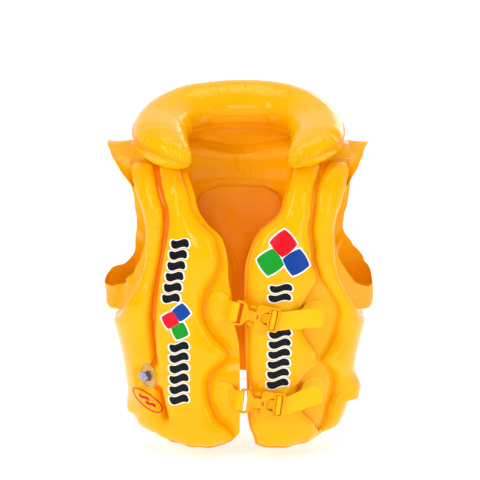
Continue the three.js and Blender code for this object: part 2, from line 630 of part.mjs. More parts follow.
// The strap: a pad on the left panel, the run under the ladder-lock, round its middle bar, and the free tail.
function strap(frame, pad) {
  const half = webbing.width / 2;
  const proud = seatGap + webbing.thickness / 2;
  const run = local(frame, frameEnd + 1.5, strapUnder, half);
  // From the buckle's end to the far edge of the pad, close over the chamber and down into the pocket.
  const course = (t, lift) => {
    const x = mix(run.point.x, pad.far, t);
    const z = mix(run.point.z, pad.z, Math.min(1, t * 1.6));
    const point = clearSkin(x, z, proud + lift, pad.half);
    if (t < 0.2) point.y = Math.min(point.y, run.point.y);
    return { point, across: widthOf(frame).lerp(upright, Math.min(1, t * 1.6)).normalize() };
  };
  const padStart = (pad.near - run.point.x) / (pad.far - run.point.x);
  const widthAtShare = (t) => mix(half, pad.half, Math.min(1, Math.max(0, (t - padStart * 0.6) / (padStart * 0.4))));
  const tailLift = webbing.thickness + 0.8;
  const bend = [0.96, 0.86, 0.76, 0.62, 0.48, 0.34].map((t) => t * padStart);
  const climb = [1, 0.9, mix(padStart, 1, 0.4), padStart, ...bend]
    .map((t) => ({ ...course(t, t < padStart ? 1.6 : 0), half: t === 1 ? pad.half * 0.7 : widthAtShare(t) }));
  const tail = [...bend.slice().reverse(), padStart + 0.06]
    .map((t) => ({ ...course(t, 1.6 + tailLift), half: t > padStart ? half * 0.8 : half }));
  const inner = innerSlot + tongue.slot / 2;
  const outer = outerSlot + tongue.slot / 2;
  return ribbon([
    ...climb,
    run,
    local(frame, outer, strapUnder, half),
    local(frame, inner + 0.5, strapUnder, half),
    local(frame, inner, strapUnder - 0.9, half),
    local(frame, inner, barTop + 0.4, half),
    local(frame, inner + 0.6, strapOver, half),
    local(frame, outer - 0.6, strapOver, half),
    local(frame, outer, barTop + 0.4, half),
    local(frame, outer, tailUnder - 0.9, half),
    local(frame, outer + 0.8, tailUnder, half),
    local(frame, frameEnd, tailUnder, half),
    ...tail,
  ], webbing.thickness);
}

// ---------- Valves ----------
// In its own frame +Z points out of the chamber and z = 0 is the land that the seat lies on.
function valveParts(name, frame) {
  const { seatRadius, stemRadius, bore, stemProud, stemBelow, plug } = valve;
  const seatHole = stemRadius + 0.4;
  const ring = (outer, inner, low, high, sides) => new THREE.LatheGeometry([[inner, low], [outer, low], [outer, high],
    [inner, high], [inner, low]].map(([r, z]) => new THREE.Vector2(r, z)), sides).rotateX(Math.PI / 2);
  place(`${name}_valve_seat`, ring(seatRadius, seatHole, seatGap, seatGap + vinyl, 20), valvePlastic, frame);
  const lug = block([stemRadius - 1, -2, stemProud - 1.8], [stemRadius + 2.4, 2, stemProud - 0.3]);
  place(`${name}_valve_stem`, join(ring(stemRadius, bore, -stemBelow, stemProud, 16), lug), valvePlastic, frame);
  place(`${name}_valve_flap`, new THREE.CylinderGeometry(stemRadius - 0.8, stemRadius - 0.8, 0.8, 12)
    .rotateX(Math.PI / 2).translate(0, 0, -stemBelow - seatGap - 0.4), valvePlastic, frame);
  const disc = new THREE.CylinderGeometry(plug, plug, 1.6, 16).rotateX(Math.PI / 2)
    .translate(0, 0, stemProud + seatGap + 0.8);
  const pin = new THREE.CylinderGeometry(bore - 0.3, bore - 1.3, 4, 12).rotateX(Math.PI / 2)
    .translate(0, 0, stemProud + seatGap - 1.9);
  const pull = block([-plug - 5, -2.6, stemProud + seatGap], [-plug + 1, 2.6, stemProud + seatGap + 1.2]);
  const tether = block([plug - 1, -2, stemProud + seatGap], [plug + 2.6, 2, stemProud + seatGap + 1]);
  place(`${name}_valve_plug`, join(disc, pin, pull, tether), valvePlastic, frame);
}

// Sinks a flat land and a pocket for the stem into a chamber, where a valve's frame stands.
function valveRecess(frame) {
  const land = new THREE.CylinderGeometry(valve.seatRadius + 1, valve.seatRadius + 1, 24, 20).rotateX(Math.PI / 2)
    .translate(0, 0, 12);
  const pocketDepth = valve.stemBelow + valve.travel + 3;
  const pocket = new THREE.CylinderGeometry(valve.stemRadius + 1.2, valve.stemRadius + 1.2, pocketDepth + 1, 16)
    .rotateX(Math.PI / 2).translate(0, 0, (1 - pocketDepth) / 2);
  return [land, pocket].map((g) => g.applyMatrix4(frame.matrixWorld));
}

// A frame on a surface point, with +Z along the outward normal and its tether side along +X.
function valveFrame(point, normal, sink) {
  const frame = new THREE.Group();
  const tetherSide = new THREE.Vector3(0, 0, 1).cross(normal).normalize();
  const third = new THREE.Vector3().crossVectors(normal, tetherSide);
  frame.quaternion.setFromRotationMatrix(new THREE.Matrix4().makeBasis(tetherSide, third, normal));
  frame.position.copy(point).addScaledVector(normal, -sink);
  frame.updateMatrixWorld(true);
  vest.add(frame);
  return frame;
}

const chamberValve = (side, turnDegrees, share, half) => {
  const turn = THREE.MathUtils.degToRad(turnDegrees);
  const normal = torsoNormal(side, turn, up(share));
  return valveFrame(torso(side, turn, up(share)).addScaledVector(normal, half), normal, 3);
};
const frontValve = chamberValve(-1, 52, 22, fullness.column);
const backValve = chamberValve(1, 146, 34, fullness.back);
const collarValveAt = collarLine.getPointAt(0.17);
const collarValve = valveFrame(
  new THREE.Vector3(-collarValveAt.x, collarValveAt.y + collarSection.rearHalfDepth, collarValveAt.z),
  new THREE.Vector3(-0.3, 1, 0).normalize(),
  3.5,
);

// ---------- Assembly ----------
const recessed = {
  right_front_outer_chamber: frontValve,
  left_back_chamber: backValve,
  right_collar_half: collarValve,
};
for (const side of [-1, 1]) {
  const which = sideName(side);
  // The collar's lobe rests on the tops of the front chambers and dents them.
  const dent = collarHalf(side, seatGap * 1.5);
  const pillows = {
    [`${which}_front_outer_chamber`]: cut(frontOuter(side), dent),
    [`${which}_front_inner_chamber`]: cut(frontInner(side), dent),
    [`${which}_back_chamber`]: backChamber(side),
    [`${which}_neck_roll`]: neckRoll(side),
    [`${which}_collar_half`]: collarHalf(side),
  };
  for (const [name, geometry] of Object.entries(pillows)) {
    place(name, recessed[name] ? cut(geometry, ...valveRecess(recessed[name])) : geometry, vinylFilm);
  }
  place(`${which}_armhole_hem`, armholeHem(side), hemFilm);
  place(`${which}_shoulder_panel`, shoulderPanel(side), hemFilm);
  place(`${which}_back_window`, backWindow(side), hemFilm);
  place(`${which}_back_hem`, backHemStrip(side), hemFilm);
  place(`${which}_neckline_hem`, necklineHem(side), hemFilm);
}
place("right_buckle_flange", buckleFlange(), hemFilm);
place("upper_pad_panel", padPanel(30, 58), hemFilm);
place("lower_pad_panel", padPanel(3, 30), hemFilm);

const tabPads = {
  upper: { far: -across(23), near: -across(8.5), z: up(46.5), half: up(4.4) },
  lower: { far: -across(19.5), near: -across(6), z: up(17.5), half: up(3.8) },
};
const strapPads = {
  upper: { near: across(57), far: across(75), z: up(43.5), half: up(4.4) },
  lower: { near: across(56), far: across(72), z: up(18.5), half: up(3.8) },
};
for (const [name, seat] of Object.entries(buckleSeats)) {
  const frame = buckleFrame(seat);
  vest.add(frame);
  place(`${name}_buckle_receiver`, receiverBody(), bucklePlastic, frame);
  place(`${name}_buckle_tongue`, tongueBody(), bucklePlastic, frame);
  place(`${name}_top_latch_arm`, latchArm(1), bucklePlastic, frame);
  place(`${name}_bottom_latch_arm`, latchArm(-1), bucklePlastic, frame);
  place(`${name}_receiver_tab`, receiverTab(frame, tabPads[name]), strapVinyl);
  place(`${name}_strap`, strap(frame, strapPads[name]), strapVinyl);
}
valveParts("front", frontValve);
valveParts("back", backValve);
valveParts("collar", collarValve);

export default vest;
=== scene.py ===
"""Looks of a child's inflatable swim vest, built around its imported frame.

Lengths are millimetres until a mesh is made.
"""

import math

import bmesh
import bpy
import numpy as np
from mathutils import Matrix, Vector
from mathutils.bvhtree import BVHTree


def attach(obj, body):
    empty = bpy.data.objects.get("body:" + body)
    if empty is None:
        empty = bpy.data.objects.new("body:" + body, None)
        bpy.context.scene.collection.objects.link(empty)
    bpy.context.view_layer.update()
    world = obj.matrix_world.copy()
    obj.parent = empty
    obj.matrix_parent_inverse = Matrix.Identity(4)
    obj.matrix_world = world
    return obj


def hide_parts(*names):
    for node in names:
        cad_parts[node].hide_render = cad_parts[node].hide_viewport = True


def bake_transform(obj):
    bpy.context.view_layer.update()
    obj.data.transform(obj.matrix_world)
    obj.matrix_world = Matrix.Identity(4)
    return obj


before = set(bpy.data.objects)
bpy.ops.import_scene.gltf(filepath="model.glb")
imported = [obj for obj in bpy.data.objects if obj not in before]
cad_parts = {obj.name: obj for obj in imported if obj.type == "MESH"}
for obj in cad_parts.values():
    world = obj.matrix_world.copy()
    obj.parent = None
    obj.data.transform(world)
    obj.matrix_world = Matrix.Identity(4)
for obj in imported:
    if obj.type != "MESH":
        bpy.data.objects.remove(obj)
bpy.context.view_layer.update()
MM = 0.001

# ---------- Camera ----------
CAMERA = {"target": (0.0, -0.128, 0.261), "distance": 2.385, "elevation": 6.0, "lens": 143.1}


def add_camera():
    rise = math.radians(CAMERA["elevation"])
    away = Vector((0, -math.cos(rise), math.sin(rise)))
    data = bpy.data.cameras.new("camera")
    data.lens = CAMERA["lens"]
    data.sensor_width = 36
    camera = bpy.data.objects.new("camera", data)
    camera.location = Vector(CAMERA["target"]) + away * CAMERA["distance"]
    camera.rotation_euler = (-away).to_track_quat("-Z", "Y").to_euler()
    bpy.context.collection.objects.link(camera)
    bpy.context.scene.camera = camera


add_camera()

# ---------- Measures of the vest ----------
HEIGHT = 376.0
DEEP = 105.0
SQUARE = 2.6
DOME = {"start": 0.77, "front": 2.0, "back": 4.0}
PUFF = {"column": 23.0, "back": 20.0}
FILM = 0.8
WELD = 2.2  # half width of the flat weld between two chambers
FLANGE_LIFT = 0.45
RIGHT, LEFT = -1, 1
SIDES = {RIGHT: "right", LEFT: "left"}


def smooth(pairs):
    """A smooth curve through (at, value) pairs."""
    at, value = np.array(sorted(pairs), float).T
    slope = np.gradient(value, at)

    def curve(t):
        t = np.clip(np.asarray(t, float), at[0], at[-1])
        i = np.clip(np.searchsorted(at, t, side="right") - 1, 0, len(at) - 2)
        span = at[i + 1] - at[i]
        u = (t - at[i]) / span
        a, b = value[i], value[i + 1]
        up, down = slope[i] * span, slope[i + 1] * span
        leaving = a * (1 + 2 * u) * (1 - u) ** 2 + up * u * (1 - u) ** 2
        return leaving + b * u * u * (3 - 2 * u) - down * u * u * (1 - u)

    return curve


def ease(t):
    t = np.clip(t, 0, 1)
    return t * t * (3 - 2 * t)


def unit(v):
    return v / np.maximum(np.linalg.norm(v, axis=-1, keepdims=True), 1e-12)


# ---------- Smooth random fields ----------
PRIMES = (374761393, 668265263, 1274126177)
SEED_STEP = 974711
WORD = 0xFFFFFFFF


def field(points, size, seed):
    """Smooth noise of about -1 to 1 over (..., 3) points, with features of the given size."""
    p = np.asarray(points, float) / size
    cell = np.floor(p).astype(int)
    f = p - cell
    f = f * f * (3 - 2 * f)
    total = np.zeros(p.shape[:-1])
    for corner in range(8):
        offset = np.array([corner & 1, corner >> 1 & 1, corner >> 2 & 1])
        c = cell + offset
        h = (sum(c[..., axis] * prime for axis, prime in enumerate(PRIMES)) + seed * SEED_STEP) & WORD
        h = ((h ^ (h >> 13)) * 1103515245) & WORD
        value = ((h ^ (h >> 16)) & 0xFFFF) / 32767.5 - 1
        weight = np.prod(np.where(offset == 1, f, 1 - f), axis=-1)
        total += value * weight
    return total


# ---------- The torso's middle surface ----------
width_at = smooth([
    (0, 120), (40, 126), (75, 131), (115, 138), (140, 146), (158, 156), (172, 165), (186, 164),
    (205, 156), (233, 151.5), (376, 150),
])


def depth_at(z, back):
    start = DOME["start"] * HEIGHT
    share = np.clip((z - start) / (HEIGHT - start), 0, 0.999)
    front = (1 - share ** DOME["front"]) ** (1 / DOME["front"])
    rear = (1 - share ** DOME["back"]) ** (1 / DOME["back"])
    rear = np.where(z > 352, 0.923 - 0.0045 * (np.asarray(z) - 352), rear)
    return DEEP * np.where(back, rear, front)


def torso(side, turn, z):
    power = 2 / SQUARE
    x = side * width_at(z) * np.abs(np.sin(turn)) ** power
    back = np.cos(turn) < 0
    y = -np.sign(np.cos(turn)) * np.abs(np.cos(turn)) ** power * depth_at(z, back)
    return np.stack([x, y, z + 0 * turn], axis=-1)


def torso_normal(side, turn, z):
    d = 0.01
    along_turn = torso(side, turn + d, z) - torso(side, turn - d, z)
    along_z = torso(side, turn, z + 1) - torso(side, turn, z - 1)
    return unit(np.cross(along_turn, along_z) * side)


def turn_of(x, z, back=False):
    share = np.clip(np.abs(x) / width_at(z), 0, 1)
    turn = np.arcsin(share ** (SQUARE / 2))
    return np.pi - turn if back else turn


# ---------- Weld lines ----------
HEM_FADE = 62.0
TOP = 357.0
WINDOW_TOP = 307.0

# The lower welds and edges, as height at each distance from the middle plane.
front_hem = smooth([
    (0, 12), (10, 2), (23, -5), (36, -8), (50, -9), (72, -7), (97, -1), (107, 3), (122, 8), (133, 14),
    (150, 50),
])
back_weld = smooth([(0, 73), (68, 67), (105, 60), (150, 48)])
back_hem = smooth([(0, 56), (68, 50), (105, 40), (150, 27)])

# The upright welds, as distance from the middle plane at each height.
groove_right = smooth([
    (-10, 86), (30, 90), (50, 95), (81, 100), (117, 105), (156, 108), (185, 106), (216, 101), (244, 96),
    (270, 92), (293, 92), (313, 98), (343, 105), (357, 107),
])
pocket_right = smooth([
    (-10, 4), (10, 6), (16, 10), (26, 23), (43, 33), (61, 38), (77, 38), (92, 32), (103, 20), (108, 11),
    (114, 11), (122, 17), (133, 28), (147, 38), (161, 44), (183, 43), (200, 37), (214, 28), (231, 22),
    (248, 25), (265, 31), (276, 43), (294, 56), (318, 63), (344, 73), (357, 76),
])
free_right = smooth([
    (-10, 0.6), (108, 0.6), (126, 1.5), (159, 8), (191, 11), (205, 14), (234, 16), (250, 19), (265, 26),
    (276, 38), (294, 51), (318, 58), (344, 68), (357, 71),
])
outer_weld = smooth([
    (150, 156), (161, 152), (175, 143), (189, 134), (202, 128), (214, 124), (240, 119.5), (262, 118.5),
    (284, 121), (306, 128), (330, 136), (346, 141), (357, 142),
])

inner_left = smooth([
    (-10, 22), (8, 18), (17, 14), (32, 11), (61, 10), (89, 9), (144, 8), (205, 7), (231, 9), (247, 14),
    (270, 26), (291, 49), (314, 57), (344, 65), (357, 68),
])
groove_left = smooth([
    (-10, 100), (12, 98), (23, 93), (38, 79), (58, 73), (75, 75), (90, 86), (101, 98), (113, 96),
    (136, 82), (158, 76), (176, 80), (191, 89), (206, 97), (216, 96), (229, 91), (248, 90), (270, 87),
    (293, 90), (321, 94), (348, 104), (357, 106),
])
pocket_left = smooth([
    (-10, 102), (12, 103), (23, 108), (40, 113), (57, 119), (76, 118), (91, 110), (101, 102),
    (113, 109), (125, 116), (136, 120), (148, 122), (162, 124), (180, 118), (198, 107), (210, 99),
    (216, 97.5), (229, 92.5), (248, 91.5), (270, 88.5), (293, 91.5), (321, 95.5), (348, 105.5),
    (357, 107.5),
])
window_edge = smooth([
    (0, 2.1), (180, 2.1), (194, 2.2), (216, 8), (238, 20), (252, 33), (263, 45), (275, 55), (284, 57),
    (292, 55.5), (298, 52), (303, 46), (306.5, 39), (309, 33), (316, 32), (332, 38), (357, 52),
    (380, 56),
])


# ---------- Meshes ----------
def new_object(name, mesh, auto_angle=35, deep=None):
    # deep is painted shade, kept as a point attribute that the vinyl's colour reads.
    if deep is not None:
        shade = mesh.attributes.new("deep", "FLOAT", "POINT")
        shade.data.foreach_set("value", np.ravel(deep).astype(np.float32))
    mesh.validate()
    mesh.polygons.foreach_set("use_smooth", [True] * len(mesh.polygons))
    mesh.set_sharp_from_angle(angle=math.radians(auto_angle))
    obj = bpy.data.objects.new(name, mesh)
    bpy.context.collection.objects.link(obj)
    return obj


def from_arrays(name, points, faces, auto_angle=35, deep=None):
    mesh = bpy.data.meshes.new(name)
    mesh.from_pydata((np.asarray(points) * MM).tolist(), [], faces)
    mesh.update()
    return new_object(name, mesh, auto_angle, deep)


def grid_faces(rows, cols, offset=0, flip=False, ring=False):
    r, c = np.meshgrid(np.arange(rows if ring else rows - 1), np.arange(cols - 1), indexing="ij")
    nxt = (r + 1) % rows
    a = offset + r * cols + c
    b = offset + nxt * cols + c
    quads = np.stack([a, a + 1, b + 1, b], axis=-1).reshape(-1, 4)
    return (quads[:, ::-1] if flip else quads).tolist()


def solid_arrays(front, back, ring=False):
    """Points and faces of a closed body between two grids of points."""
    rows, cols = front.shape[:2]
    n = rows * cols
    faces = grid_faces(rows, cols, 0, False, ring) + grid_faces(rows, cols, n, True, ring)
    spans = rows if ring else rows - 1
    for r in range(spans):
        a, b = r * cols, (r + 1) % rows * cols
        faces.append([a, b, b + n, a + n])
        a, b = a + cols - 1, b + cols - 1
        faces.append([b, a, a + n, b + n])
    if not ring:
        last = (rows - 1) * cols
        for c in range(cols - 1):
            faces.append([c + 1, c, c + n, c + 1 + n])
            faces.append([last + c, last + c + 1, last + c + 1 + n, last + c + n])
    return np.concatenate([front.reshape(-1, 3), back.reshape(-1, 3)]), faces


def closed_sheet(name, front, back, ring=False, auto_angle=35, deep=None):
    """A closed body between two grids of points, front and back of one sheet or pillow.

    deep is painted shade: how far its colour turns deep orange at each point.
    """
    obj = from_arrays(name, *solid_arrays(front, back, ring), auto_angle, deep)
    face_out(obj)
    return obj


class Bundle:
    """Several closed bodies that make one piece."""

    def __init__(self):
        self.points, self.faces, self.count = [], [], 0

    def add(self, points, faces):
        self.points.append(np.asarray(points, float).reshape(-1, 3))
        self.faces += [[i + self.count for i in face] for face in faces]
        self.count += len(self.points[-1])

    def build(self, name, auto_angle=40):
        obj = from_arrays(name, np.concatenate(self.points), self.faces, auto_angle)
        face_out(obj)
        return obj


def face_out(obj):
    b = bmesh.new()
    b.from_mesh(obj.data)
    bmesh.ops.recalc_face_normals(b, faces=b.faces)
    b.to_mesh(obj.data)
    b.free()


# ---------- Air pressure ----------
def cotangents(grid):
    """Stiffness of a grid's across, along and diagonal edges, from its triangles' angles."""
    rows, cols = grid.shape[:2]
    across, along = np.zeros((rows, cols - 1)), np.zeros((rows - 1, cols))
    slant = np.zeros((rows - 1, cols - 1))
    a, b, c, d = grid[:-1, :-1], grid[:-1, 1:], grid[1:, 1:], grid[1:, :-1]

    def cot(at, p, q):
        u, v = p - at, q - at
        twice_area = np.maximum(np.linalg.norm(np.cross(u, v), axis=-1), 1e-9)
        return np.clip((u * v).sum(-1) / twice_area, 0.02, 20) / 2

    area = np.zeros((rows, cols))
    first = np.linalg.norm(np.cross(b - a, c - a), axis=-1) / 2
    second = np.linalg.norm(np.cross(c - a, d - a), axis=-1) / 2
    across[:-1] += cot(c, a, b)
    along[:, 1:] += cot(a, b, c)
    slant += cot(b, a, c) + cot(d, a, c)
    across[1:] += cot(a, c, d)
    along[:, :-1] += cot(c, a, d)
    for part, where in ((first, ((0, 0), (0, 1), (1, 1))), (second, ((0, 0), (1, 1), (1, 0)))):
        for dr, dc in where:
            area[dr : rows - 1 + dr, dc : cols - 1 + dc] += part / 3
    return across, along, slant, area


def membrane(grid, held, rounds=700):
    """The height of a film under unit pressure over a grid, zero where held.

    Its square root rises from a straight weld as a circle does.
    """
    across, along, slant, area = cotangents(grid)
    free = ~held
    links = ((across, np.s_[:, :-1], np.s_[:, 1:]), (along, np.s_[:-1, :], np.s_[1:, :]),
             (slant, np.s_[:-1, :-1], np.s_[1:, 1:]))
    diagonal = np.zeros(held.shape)
    for weight, first, second in links:
        diagonal[first] += weight
        diagonal[second] += weight
    diagonal = np.maximum(diagonal, 1e-6)

    def pull(x):
        y = diagonal * x
        for weight, first, second in links:
            y[first] -= weight * x[second]
            y[second] -= weight * x[first]
        return y * free

    x = np.zeros(held.shape)
    rest = area * free
    step = rest / diagonal
    way = step.copy()
    energy = (rest * step).sum()
    for _ in range(rounds):
        pulled = pull(way)
        size = energy / max((way * pulled).sum(), 1e-30)
        x += size * way
        rest -= size * pulled
        step = rest / diagonal
        fresh = (rest * step).sum()
        if fresh < 1e-9 * area.sum():
            break
        way = step + fresh / energy * way
        energy = fresh
    return np.maximum(x, 0)


def puff(height, most):
    radius = np.sqrt(2 * height)
    return most * np.tanh(radius / most)


# ---------- Shells ----------
EDGE_STEPS = np.array([0, 0.9, WELD, WELD + 0.7, WELD + 1.8, WELD + 3.4, WELD + 5.6])


def strip(width, inside, first=1.0, last=1.0):
    """Shares across a strip of the given width at each row, closer together by its welds.

    first and last are how many times as wide the two welds are.
    """
    near = EDGE_STEPS[None, :] * np.minimum(1, width[:, None] / 30) / width[:, None]
    left, right = near * first, 1 - near[:, ::-1] * last
    t = (np.arange(1, inside) / inside)[None, :]
    middle = left[:, -1:] + (right[:, :1] - left[:, -1:]) * t
    return np.concatenate([left, middle, right], axis=1)


def arc_length(side, start, end, z):
    t = np.linspace(0, 1, 24)[:, None]
    p = torso(side, start + (end - start) * t, z + 0 * t)
    return np.linalg.norm(np.diff(p, axis=0), axis=-1).sum(0)


def row_heights(count=158):
    low = np.array([0, 0.9, 2.0, 3.0, 4.6, 6.8])
    return np.concatenate([low, np.linspace(9.2, TOP - 6, count), [TOP - 3.5, TOP - 1.8, TOP]])


def front_grid(side, edges, counts, wide):
    """Turns and heights of a front's grid, between successive edges."""
    nominal = row_heights()
    shares = []
    for k, count in enumerate(counts):
        start = edges[k](nominal)
        end = edges[k + 1](nominal)
        if count < 10:
            shares.append(np.repeat(np.linspace(0, 1, count + 1)[None, :], len(nominal), 0))
        else:
            width = arc_length(side, turn_of(start, nominal), turn_of(end, nominal), nominal)
            shares.append(strip(np.maximum(width, 6), count, *wide[k]))
    z = None
    for _ in range(4):
        columns = []
        for k, share in enumerate(shares):
            zz = nominal[:, None] + 0 * share if z is None else z[k]
            start, end = turn_of(edges[k](zz), zz), turn_of(edges[k + 1](zz), zz)
            columns.append(start + (end - start) * share)
        z = []
        for turn in columns:
            flat = nominal[:, None] + 0 * turn
            x = np.abs(torso(1, turn, flat)[..., 0])
            low = front_hem(x) + (HEM_FADE - front_hem(x)) * flat / HEM_FADE
            z.append(np.where(flat < HEM_FADE, low, flat))
    marks = np.cumsum([0] + [c.shape[1] - 1 for c in columns])
    turn = np.concatenate([columns[0]] + [c[:, 1:] for c in columns[1:]], axis=1)
    height = np.concatenate([z[0]] + [c[:, 1:] for c in z[1:]], axis=1)
    return turn, height, marks, nominal


def pucker(points, height, size, seed):
    """Small creases that run out of the welds into the chambers."""
    radius = np.sqrt(2 * height)
    near = np.exp(-radius / 11) * ease(radius / 4)
    ripple = field(points, 9, seed) + 0.6 * field(points, 4.5, seed + 1)
    slow = field(points, 46, seed + 2)
    return size * near * ripple + 0.5 * slow * ease(radius / 14)


def gathers(run, pitch, seed):
    """Sharp little valleys at uneven steps along a run, 0 to 1 deep."""
    at = np.stack([run, 0 * run, 0 * run], -1)
    phase = run / pitch + 0.8 * field(at, pitch * 2.2, seed)
    valley = np.exp(-(((phase % 1 - 0.5) / 0.14) ** 2))
    return valley * np.clip(0.55 + 0.6 * field(at, pitch * 1.7, seed + 1), 0, 1.2)


VALVES = {
    "front": {"body": "right_half", "at": (-116.67, -84.09, 81.37), "z": (-0.752, -0.655, -0.075),
              "x": (0.657, -0.754, 0)},
    "back": {"body": "left_half", "at": (90.93, 105.22, 126.84), "z": (0.441, 0.895, -0.062),
             "x": (-0.897, 0.442, 0)},
    "collar": {"body": "right_half", "at": (-39.38, 89.56, 427.09), "z": (-0.287, 0.958, 0),
               "x": (-0.958, -0.287, 0)},
}
WELL = {"deep": 16.5, "radius": 7.6, "soft": 1.9}  # room for a valve's stem when it is pushed in


def flatten(points, valve, inner=14.5, outer=25.0, level=0.15):
    """Presses a chamber's outer face flat under a valve's seat, with a well round its stem."""
    at, axis = np.array(valve["at"]), unit(np.array(valve["z"], float))
    away = points - at
    height = away @ axis
    radius = np.linalg.norm(away - height[..., None] * axis, axis=-1)
    share = (1 - ease((radius - inner) / (outer - inner))) * (np.abs(height) < 18)
    well = WELL["deep"] * (1 - ease((radius - WELL["radius"]) / WELL["soft"]))
    points += (share * (level - well - height))[..., None] * axis


shells = {}


FRONT_CREASES = {  # distance from the middle plane, height, reach and depth
    "right": ((11, 110, 48, 3.0), (22, 224, 40, 1.2)),
    "left": ((98, 106, 38, 2.6),),
}
WIDE_COUNT = 30  # a chamber has this many columns or more, a pocket or flange has fewer


def front_welds(side, x_flat, z, nominal, marks, edges, counts):
    """Where a front's two films are welded together."""
    held = np.zeros(z.shape, bool)
    held[:3] = held[-3:] = True
    held[:, : marks[1] + 3] = held[:, -3:] = True
    groove_end = nominal > 30
    first = marks[2]
    held[groove_end, first - 2 : first + 3] = True
    if side > 0:
        pocket = (pocket_left(z[:, first]) - groove_left(z[:, first])) > 4
        held[groove_end | pocket, first : marks[3] + 3] = True
        held[pocket, first - 2 : first + 1] = True
    for k, count in enumerate(counts):
        if count >= WIDE_COUNT:
            part = np.s_[:, marks[k] : marks[k + 1] + 1]
            round_tops(held[part], x_flat[part], z[part], edges[k](z[part]), edges[k + 1](z[part]))
    return held


def front_creases(side, half, x_flat, z):
    """Presses the long creases by the buckles into a front's chambers."""
    for at_x, at_z, reach, most in FRONT_CREASES[SIDES[side]]:
        run = np.clip(side * (at_x - x_flat) / reach, 0, 1)
        droop, part = (5 * run, 1) if side < 0 else (0, x_flat < at_x)
        line = np.exp(-(((z - at_z + droop) / (3.0 + 8 * run)) ** 2))
        half -= most * line * (1 - run) * ease(half / 5) * part


def front_shade(side, radius, turn, z, marks):
    """Painted shade on a front's outer face: how far its colour turns deep orange, by its welds and most of
    all in its grooves.
    """
    first = marks[2]
    deep = np.exp(-((radius / 3.2) ** 2)) * 0.3
    groove = np.zeros(turn.shape)
    groove[:, first - 2 : first + 3] = 1
    if side < 0:
        deep += 0.5 * groove * np.exp(-((radius / 2.5) ** 2)) * ease((z - 24) / 14)
        deep[:, : marks[1] + 1] *= 0.25
        return deep
    width = (pocket_left(z) - groove_left(z)) / 10
    pad = ease(width - 0.4) * (turn > turn[:, [first]]) * (turn < turn[:, [marks[3]]])
    return deep * (1 - 0.7 * pad) + 0.3 * groove * (1 - ease(width - 0.2)) * ease((z - 170) / 20)


def front_shell(side):
    if side < 0:
        edges = [free_right, pocket_right, groove_right, outer_weld]
        counts = [7, 38, 30]
        wide = [(1, 1), (1, 1.6), (1.6, 1)]
    else:
        edges = [lambda z: inner_left(z) - 1.3, inner_left, groove_left, pocket_left, outer_weld]
        counts = [3, 38, 8, 30]
        wide = [(1, 1), (0.6, 1), (1, 1), (1, 1)]
    turn, z, marks, nominal = front_grid(side, edges, counts, wide)
    middle = torso(side, turn, z)
    normal = torso_normal(side, turn, z)
    x_flat = np.abs(middle[..., 0])
    held = front_welds(side, x_flat, z, nominal, marks, edges, counts)
    height = membrane(middle, held)
    radius = np.sqrt(2 * height)
    half = puff(height, PUFF["column"])
    front_creases(side, half, x_flat, z)
    lift = np.zeros(turn.shape)
    if side < 0:
        edge = middle[:, marks[1]][:, None, :]
        reach = np.linalg.norm(middle - edge, axis=-1)
        reach[:, marks[1] :] = 0
        lift = FLANGE_LIFT * reach * (1 - 0.25 * ease(reach / 60))
        lift += 0.8 * field(middle, 24, 5) * ease(reach / 12)
    ridge = weld_ridge(held)
    if side > 0:
        ridge[:, : marks[1] + 4] = 0
    wave = pucker(middle, height, 1.6, 11 + side)
    scallop = np.sin(x_flat * 0.23 + 2.0 * field(middle, 40, 33)) + 0.6 * field(middle, 12, 31)
    rise = z - front_hem(x_flat)
    hem_wave = np.exp(-np.maximum(rise, 0) / 8) * 1.9 * scallop
    low_edge = gathers(x_flat + 0.15 * z, 12, 41 + side) * np.exp(-np.maximum(rise - 5, 0) / 9)
    low_edge *= ease(rise / 7)
    outer_edge = gathers(z + 0.2 * x_flat, 17, 47 + side) * np.exp(-radius / 9)
    outer_edge *= turn > turn[:, [marks[-2]]]
    wave -= (2.4 * low_edge + 1.5 * outer_edge) * ease(half / 4)
    corner_flap(middle, turn, z, side)
    out = middle + normal * (half + lift + wave + hem_wave + FILM / 2 + ridge)[..., None]
    inn = middle - normal * (0.85 * half - lift - hem_wave + FILM / 2 + 0.5 * ridge)[..., None]
    if side < 0:
        flatten(out, VALVES["front"])
    # Painted shade: the outer face turns deep orange by its welds and grooves, the inner face evenly a little
    # deep orange all over.
    deep = front_shade(side, radius, turn, z, marks)
    return closed_sheet(f"{SIDES[side]}_front_shell", out, inn, deep=np.stack([deep, 0.3 + 0 * deep]))


def corner_flap(middle, turn, z, side):
    """Lets the lower end of a side seam stand out."""
    reach, low, high = (6, 24, 46) if side < 0 else (13, 40, 74)
    share = ease((np.sin(turn) - 0.90) / 0.10) * ease((z - low) / 9) * (1 - ease((z - high + 12) / 26))
    middle[..., 0] += side * reach * share
    middle[..., 2] -= 4 * share


def weld_ridge(held, most=0.5):
    """A thin raised bead where each flat weld meets a chamber."""
    ridge = np.zeros(held.shape)
    near = np.zeros(held.shape, bool)
    near[:, 1:] |= ~held[:, :-1]
    near[:, :-1] |= ~held[:, 1:]
    near[1:] |= ~held[:-1]
    near[:-1] |= ~held[1:]
    ridge[held & near] = most
    return ridge


def round_tops(held, x, z, low, high, radius=15.0):
    """Welds the upper corners of a column, so that it ends round."""
    for edge, sign in ((low, 1), (high, -1)):
        dx = radius - sign * (x - edge)
        dz = z - (TOP - 4 - radius)
        outside = np.hypot(np.maximum(dx, 0), np.maximum(dz, 0)) > radius
        held |= (dx > 0) & (dz > 0) & outside & (dx < radius)


HEM_SHARES = (0, 0.15, 0.4, 0.7)
LOBE_COLUMNS = 56
BACK_ROWS = np.concatenate([[0.004, 0.012, 0.022, 0.035], np.linspace(0.05, 0.965, 140), [0.98, 0.99, 1.0]])
BAR_ROW = int(np.argmin(np.abs(BACK_ROWS - 0.80)))  # where the window ends and the neck roll starts


